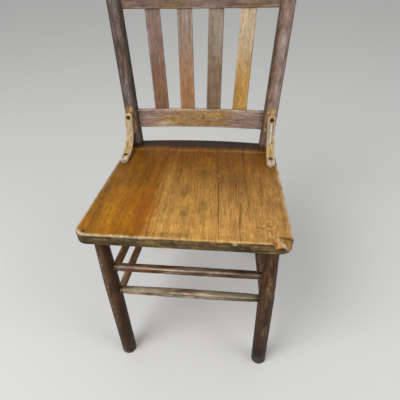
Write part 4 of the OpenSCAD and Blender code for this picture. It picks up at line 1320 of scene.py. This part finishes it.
def brace_line(node):
    """A hip brace's middle line: flat on the seat, round the bend, then straight up the post.

    Gives the distances along it, its length, its points, the way through the brace at each of them, and the
    brace's thickness.
    """
    sizes = bpy.context.scene.chair_sizes
    points = cad_points(node)
    x_middle = (points[:, 0].min() + points[:, 0].max()) / 2
    _, v, w = back.local(points)
    top = w.max()
    on_post = v[w > top - 8 * MM]
    thick = on_post.max() - on_post.min()
    post_v = (on_post.max() + on_post.min()) / 2
    rake = atan2(back.up[1], back.up[2])
    turn = pi / 2 - rake
    bend = sizes.brace_bend + thick / 2
    corner_w = (thick / 2 + post_v * sin(rake)) / cos(rake)
    corner_y = back.origin[1] + post_v * cos(rake) + corner_w * sin(rake)
    flat_end = corner_y - bend * tan(turn / 2)
    tip = points[:, 1].min()
    foot, arc = flat_end - tip, bend * turn
    length = foot + arc + (top - corner_w - bend * tan(turn / 2))
    half = sizes.brace_width / 2
    ends = half * (1 - np.cos(np.radians(range(14, 90, 10))))
    run = np.concatenate([ends, spaced(half, length - half, BRACE_GAP), length - ends[::-1]])
    angle = np.clip((run - foot) / bend, 0, turn)
    y = np.where(run < foot, tip + run, flat_end + bend * np.sin(angle))
    z = seat.top + thick / 2 + bend * (1 - np.cos(angle))
    past = np.maximum(run - foot - arc, 0)
    y, z = y + past * sin(rake), z + past * cos(rake)
    centres = np.stack([np.full_like(y, x_middle), y, z], -1)
    through = np.stack([0 * angle, np.sin(angle), -np.cos(angle)], -1)
    return run, length, centres, through, thick


def paint_brace(skin, length, painted_sheen):
    """Golden wood, with amber varnish left below and a painted cool sheen and painted highlight streaks
    above.
    """
    drift = skin.lumps(8, 40, 5)
    patch = skin.lumps(4, 14, 6, 3)
    share, aside = skin.grain[:, 2] / length, skin.grain[:, 0]
    upper = ease(share + 0.06 * drift, 0.42, 0.60)
    skin.stained("brace_gold")
    skin.stained("brace_amber", 0.8 * ease_mm(abs(aside), 7, 3) * (1 - upper) * ease(patch, -0.5, 0.3))
    upper = upper * painted_sheen
    # A painted cool sheen on the upper half.
    skin.stained("brace_sheen_grey", 0.75 * upper * ease(share, 0.94, 0.86) * ease(patch, -0.8, 0.1))
    skin.stained("brace_brown", 0.75 * ease(patch + 0.4 * drift, 0.15, 0.6))
    # A painted highlight streak along the upper half.
    streak = ease_mm(abs(aside + 1 * MM + 2 * MM * drift), 2.6, 0.8) * upper * ease(share, 0.90, 0.80)
    skin.stained("brace_white_highlight_and_wear", 0.65 * streak)
    skin.stained("brace_white_highlight_and_wear", 0.65 * ease(share, 0.14, 0.07) * ease(patch, -0.5, 0.2))
    skin.stained("pale_wear_and_highlight", 0.60 * skin.edge * ease(drift, -0.7, 0.1))
    skin.bare = 0.30 * skin.edge + 0.25 * ease(drift, -0.1, 0.6)


def brace(side, seed, painted_sheen):
    """A bent hip brace with rounded ends and dark hollows round its screws."""
    sizes = bpy.context.scene.chair_sizes
    node = side + "_hip_brace"
    run, length, centres, through, thick = brace_line(node)
    outline, edge = rounded_outline(sizes.brace_width, thick, sizes.brace_edge, BRACE_GAP)
    half = sizes.brace_width / 2
    short = np.clip(half - np.minimum(run, length - run), 0, half)
    narrow = np.sqrt(half ** 2 - short ** 2) / half
    squeeze = np.stack([narrow, np.ones_like(narrow)], -1)[:, None]
    section = outline[None] * squeeze
    surface = centres[:, None] + section[..., :1] * X_AXIS + section[..., 1:] * through[:, None]
    heads = [screw_head("%s_brace_%s_screw" % (side, place)) for place in ("lower", "upper")]
    away = np.min([np.linalg.norm(surface - head, axis=-1) for head in heads], axis=0)
    outer = outline[None, :, 1] < 0
    recess = RECESS_DEPTH * ease(away, sizes.screw_recess + 0.5 * MM, sizes.screw_recess - 0.4 * MM) * outer
    hollow = BRACE_HOLLOW_DEPTH * ease(section_lumps(run, outline, 12, 30, seed, 1), -0.2, 0.8) * outer
    knocks = ease(section_lumps(run, outline, 7, 10, seed, 2), 0.15, 0.6) * edge * outer
    dip = np.maximum(recess, hollow + BRACE_KNOCK_DEPTH * knocks)
    skin = bar_skin(centres, X_AXIS, through, outline, edge, seed, dip, squeeze)
    paint_brace(skin, length, painted_sheen)
    in_recess = with_ends(ease(away, sizes.screw_recess + 1.2 * MM, sizes.screw_recess - 0.6 * MM) * outer)
    # Darkened in the hollows round the screws, and painted shade on the faces that lie against the seat and
    # the post.
    skin.grime_and_shade = np.maximum(1.2 * in_recess, 0.5 * with_ends(np.repeat(~outer * 1.0, len(run), 0)))
    skin.bare = skin.bare * (1 - in_recess)
    skin.build(node, "bare_pale_wood", "brace_wood")


def screw_head(node):
    """The middle of a screw's head."""
    points = cad_points(node)
    low, high = axis_ends(node)
    widest = []
    for end in (low, high):
        away = np.linalg.norm(points - end, axis=1)
        widest.append(away[away < 6 * MM].max())
    return low if widest[0] > widest[1] else high


# ---- Operators ----


class CHAIR_OT_seat(Operator):
    """Build the three glued boards of the seat"""
    bl_idname = "chair.seat"
    bl_label = "Seat"

    def execute(self, context):
        outer_left = Line((-seat.side(seat.front), seat.front), (-seat.side(seat.front + 1), seat.front + 1))
        lines = (outer_left, *seat.glue, seat.side)
        shades = (1.0, 1.04, 0.99)
        for i, node in enumerate(SEAT_BOARDS):
            skin = seat_board(lines[i], lines[i + 1], i - 1, 11 + i)
            paint_seat(skin, shades[i])
            skin.build(node, "seat_varnish", node + "_varnish")
        return {"FINISHED"}


class CHAIR_OT_legs(Operator):
    """Build the four turned legs"""
    bl_idname = "chair.legs"
    bl_label = "Legs"

    def execute(self, context):
        for i, node in enumerate(("left_front_leg", "right_front_leg", "left_rear_leg", "right_rear_leg")):
            leg(node, 21 + i)
        return {"FINISHED"}


class CHAIR_OT_stretchers(Operator):
    """Build the seven stretchers between the legs"""
    bl_idname = "chair.stretchers"
    bl_label = "Stretchers"

    def execute(self, context):
        stretcher("upper_front_stretcher", 31, "leg_red", "stretcher_mauve", 0.22)
        stretcher("lower_front_stretcher", 32, "stretcher_brown", "stretcher_tan", 0.32)
        stretcher("rear_stretcher", 33, "leg_brown", "stretcher_brown", 0.15)
        for i, node in enumerate(SIDE_STRETCHERS):
            stretcher(node, 34 + i, "leg_red", "side_tan", 0.2)
        return {"FINISHED"}


class CHAIR_OT_back(Operator):
    """Build the two posts, the two bowed rails and the four slats"""
    bl_idname = "chair.back"
    bl_label = "Back"

    def execute(self, context):
        post("left_post", 41, "post_bloom_and_sheen", 0.76)
        post("right_post", 42, "post_rose", 1.35)
        rail("lower_rail", 43, paint_lower_rail)
        rail("crest_rail", 44, paint_crest_rail)
        for i, tint in enumerate(("slat_mauve", "slat_orange", "slat_grey", "slat_gold")):
            slat("slat_%d" % (i + 1), 45 + i, tint)
        return {"FINISHED"}


class CHAIR_OT_braces(Operator):
    """Build the two bent hip braces and finish their screws"""
    bl_idname = "chair.braces"
    bl_label = "Hip braces"

    def execute(self, context):
        brace("left", 51, 0.35)
        brace("right", 52, 1.0)
        steel = old_steel("screw_steel")
        for node in SCREWS:
            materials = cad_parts[node].data.materials
            for i in range(len(materials)):
                materials[i] = steel
        return {"FINISHED"}


class CHAIR_OT_stage(Operator):
    """Set up the floor, the lights and the camera"""
    bl_idname = "chair.stage"
    bl_label = "Stage"

    def execute(self, context):
        stage = context.scene.chair_stage
        bpy.ops.mesh.primitive_plane_add(size=30, location=(0, 0, 0))
        floor = context.object
        floor.name = "floor"
        f = Finish(bpy.data.materials.new("floor_paper"))
        floor.data.materials.append(f.surface(None, 0, Base_Color=f.rgba(stage.floor), Roughness=0.9))
        self.light("key", (-1.3, -1.5, 2.5), 1.8, stage.key_power)
        self.light("fill", (1.9, -0.9, 1.9), 1.6, stage.fill_power)
        self.world(context, stage)
        self.camera(context, stage)
        context.scene.view_settings.view_transform = "Standard"
        return {"FINISHED"}

    @staticmethod
    def light(name, place, width, power):
        """A round lamp that faces the middle of the chair."""
        lamp = bpy.data.lights.new(name, "AREA")
        lamp.energy, lamp.size = power, width
        lamp.shape = "DISK"
        thing = bpy.data.objects.new(name, lamp)
        aim = Vector((0, 0, 0.45)) - Vector(place)
        thing.matrix_world = Matrix.Translation(place) @ aim.to_track_quat("-Z", "Y").to_matrix().to_4x4()
        bpy.context.scene.collection.objects.link(thing)

    @staticmethod
    def world(context, stage):
        """White where it is looked at or mirrored, and as dim as the ambient light elsewhere."""
        f = Finish(bpy.data.worlds.new("studio"))
        context.scene.world = f.owner
        looked_at = f.node("ShaderNodeLightPath", output="Is Camera Ray")
        mirrored = f.node("ShaderNodeLightPath", output="Is Glossy Ray")
        dimmed = {"Value": looked_at.most(mirrored), "To Min": stage.ambient}
        strength = f.node("ShaderNodeMapRange", None, dimmed)
        background = f.node("ShaderNodeBackground", None, {"Strength": strength})
        f.node("ShaderNodeOutputWorld", None, {"Surface": background}, None)

    @staticmethod
    def camera(context, stage):
        """The camera looks down at the seat from before it and a little to the right."""
        turn, tilt, roll = -stage.camera_turn, -stage.camera_tilt, -stage.camera_roll
        ahead = np.array((sin(turn) * cos(tilt), cos(turn) * cos(tilt), sin(tilt)))
        level = np.array((cos(turn), -sin(turn), 0))
        upright = np.cross(level, ahead)
        right = cos(roll) * level + sin(roll) * upright
        up = cos(roll) * upright - sin(roll) * level
        place = (stage.camera_across, seat.front - stage.camera_before, stage.camera_height)
        data = bpy.data.cameras.new("camera")
        data.lens, data.sensor_width = stage.camera_lens, 36
        data.shift_x, data.shift_y = stage.shift_across, stage.shift_up
        camera = bpy.data.objects.new("camera", data)
        rows = [(right[i], up[i], -ahead[i], place[i]) for i in range(3)]
        camera.matrix_world = Matrix(rows + [(0, 0, 0, 1)])
        context.scene.collection.objects.link(camera)
        context.scene.camera = camera


class CHAIR_PT_panel(Panel):
    """The chair's pieces, sizes and colours"""
    bl_idname = "CHAIR_PT_panel"
    bl_label = "Slat-back chair"
    bl_space_type = "VIEW_3D"
    bl_region_type = "UI"
    bl_category = "Chair"

    def draw(self, context):
        """A button for each operator, and a box for each group of properties."""
        for operator in OPERATORS:
            self.layout.operator(operator.bl_idname)
        for group in (context.scene.chair_sizes, context.scene.chair_colours, context.scene.chair_stage):
            box = self.layout.box()
            for name in group.bl_rna.properties.keys():
                if name not in ("rna_type", "name"):
                    box.prop(group, name)


GROUPS = {"chair_sizes": ChairSizes, "chair_colours": ChairColours, "chair_stage": ChairStage}
OPERATORS = (
    CHAIR_OT_stage, CHAIR_OT_seat, CHAIR_OT_legs,
    CHAIR_OT_stretchers, CHAIR_OT_back, CHAIR_OT_braces,
)


def register():
    """Registers the classes and hangs their property groups on the scene."""
    for kind in (*GROUPS.values(), *OPERATORS, CHAIR_PT_panel):
        bpy.utils.register_class(kind)
    for name, group in GROUPS.items():
        setattr(bpy.types.Scene, name, PointerProperty(type=group))


def unregister():
    """Undoes register."""
    for name in GROUPS:
        delattr(bpy.types.Scene, name)
    for kind in (CHAIR_PT_panel, *reversed(OPERATORS), *reversed(GROUPS.values())):
        bpy.utils.unregister_class(kind)


def main():
    """Builds the chair and its stage."""
    register()
    bpy.ops.chair.stage()
    bpy.ops.chair.seat()
    bpy.ops.chair.legs()
    bpy.ops.chair.stretchers()
    bpy.ops.chair.back()
    bpy.ops.chair.braces()


if __name__ == "__main__":
    main()
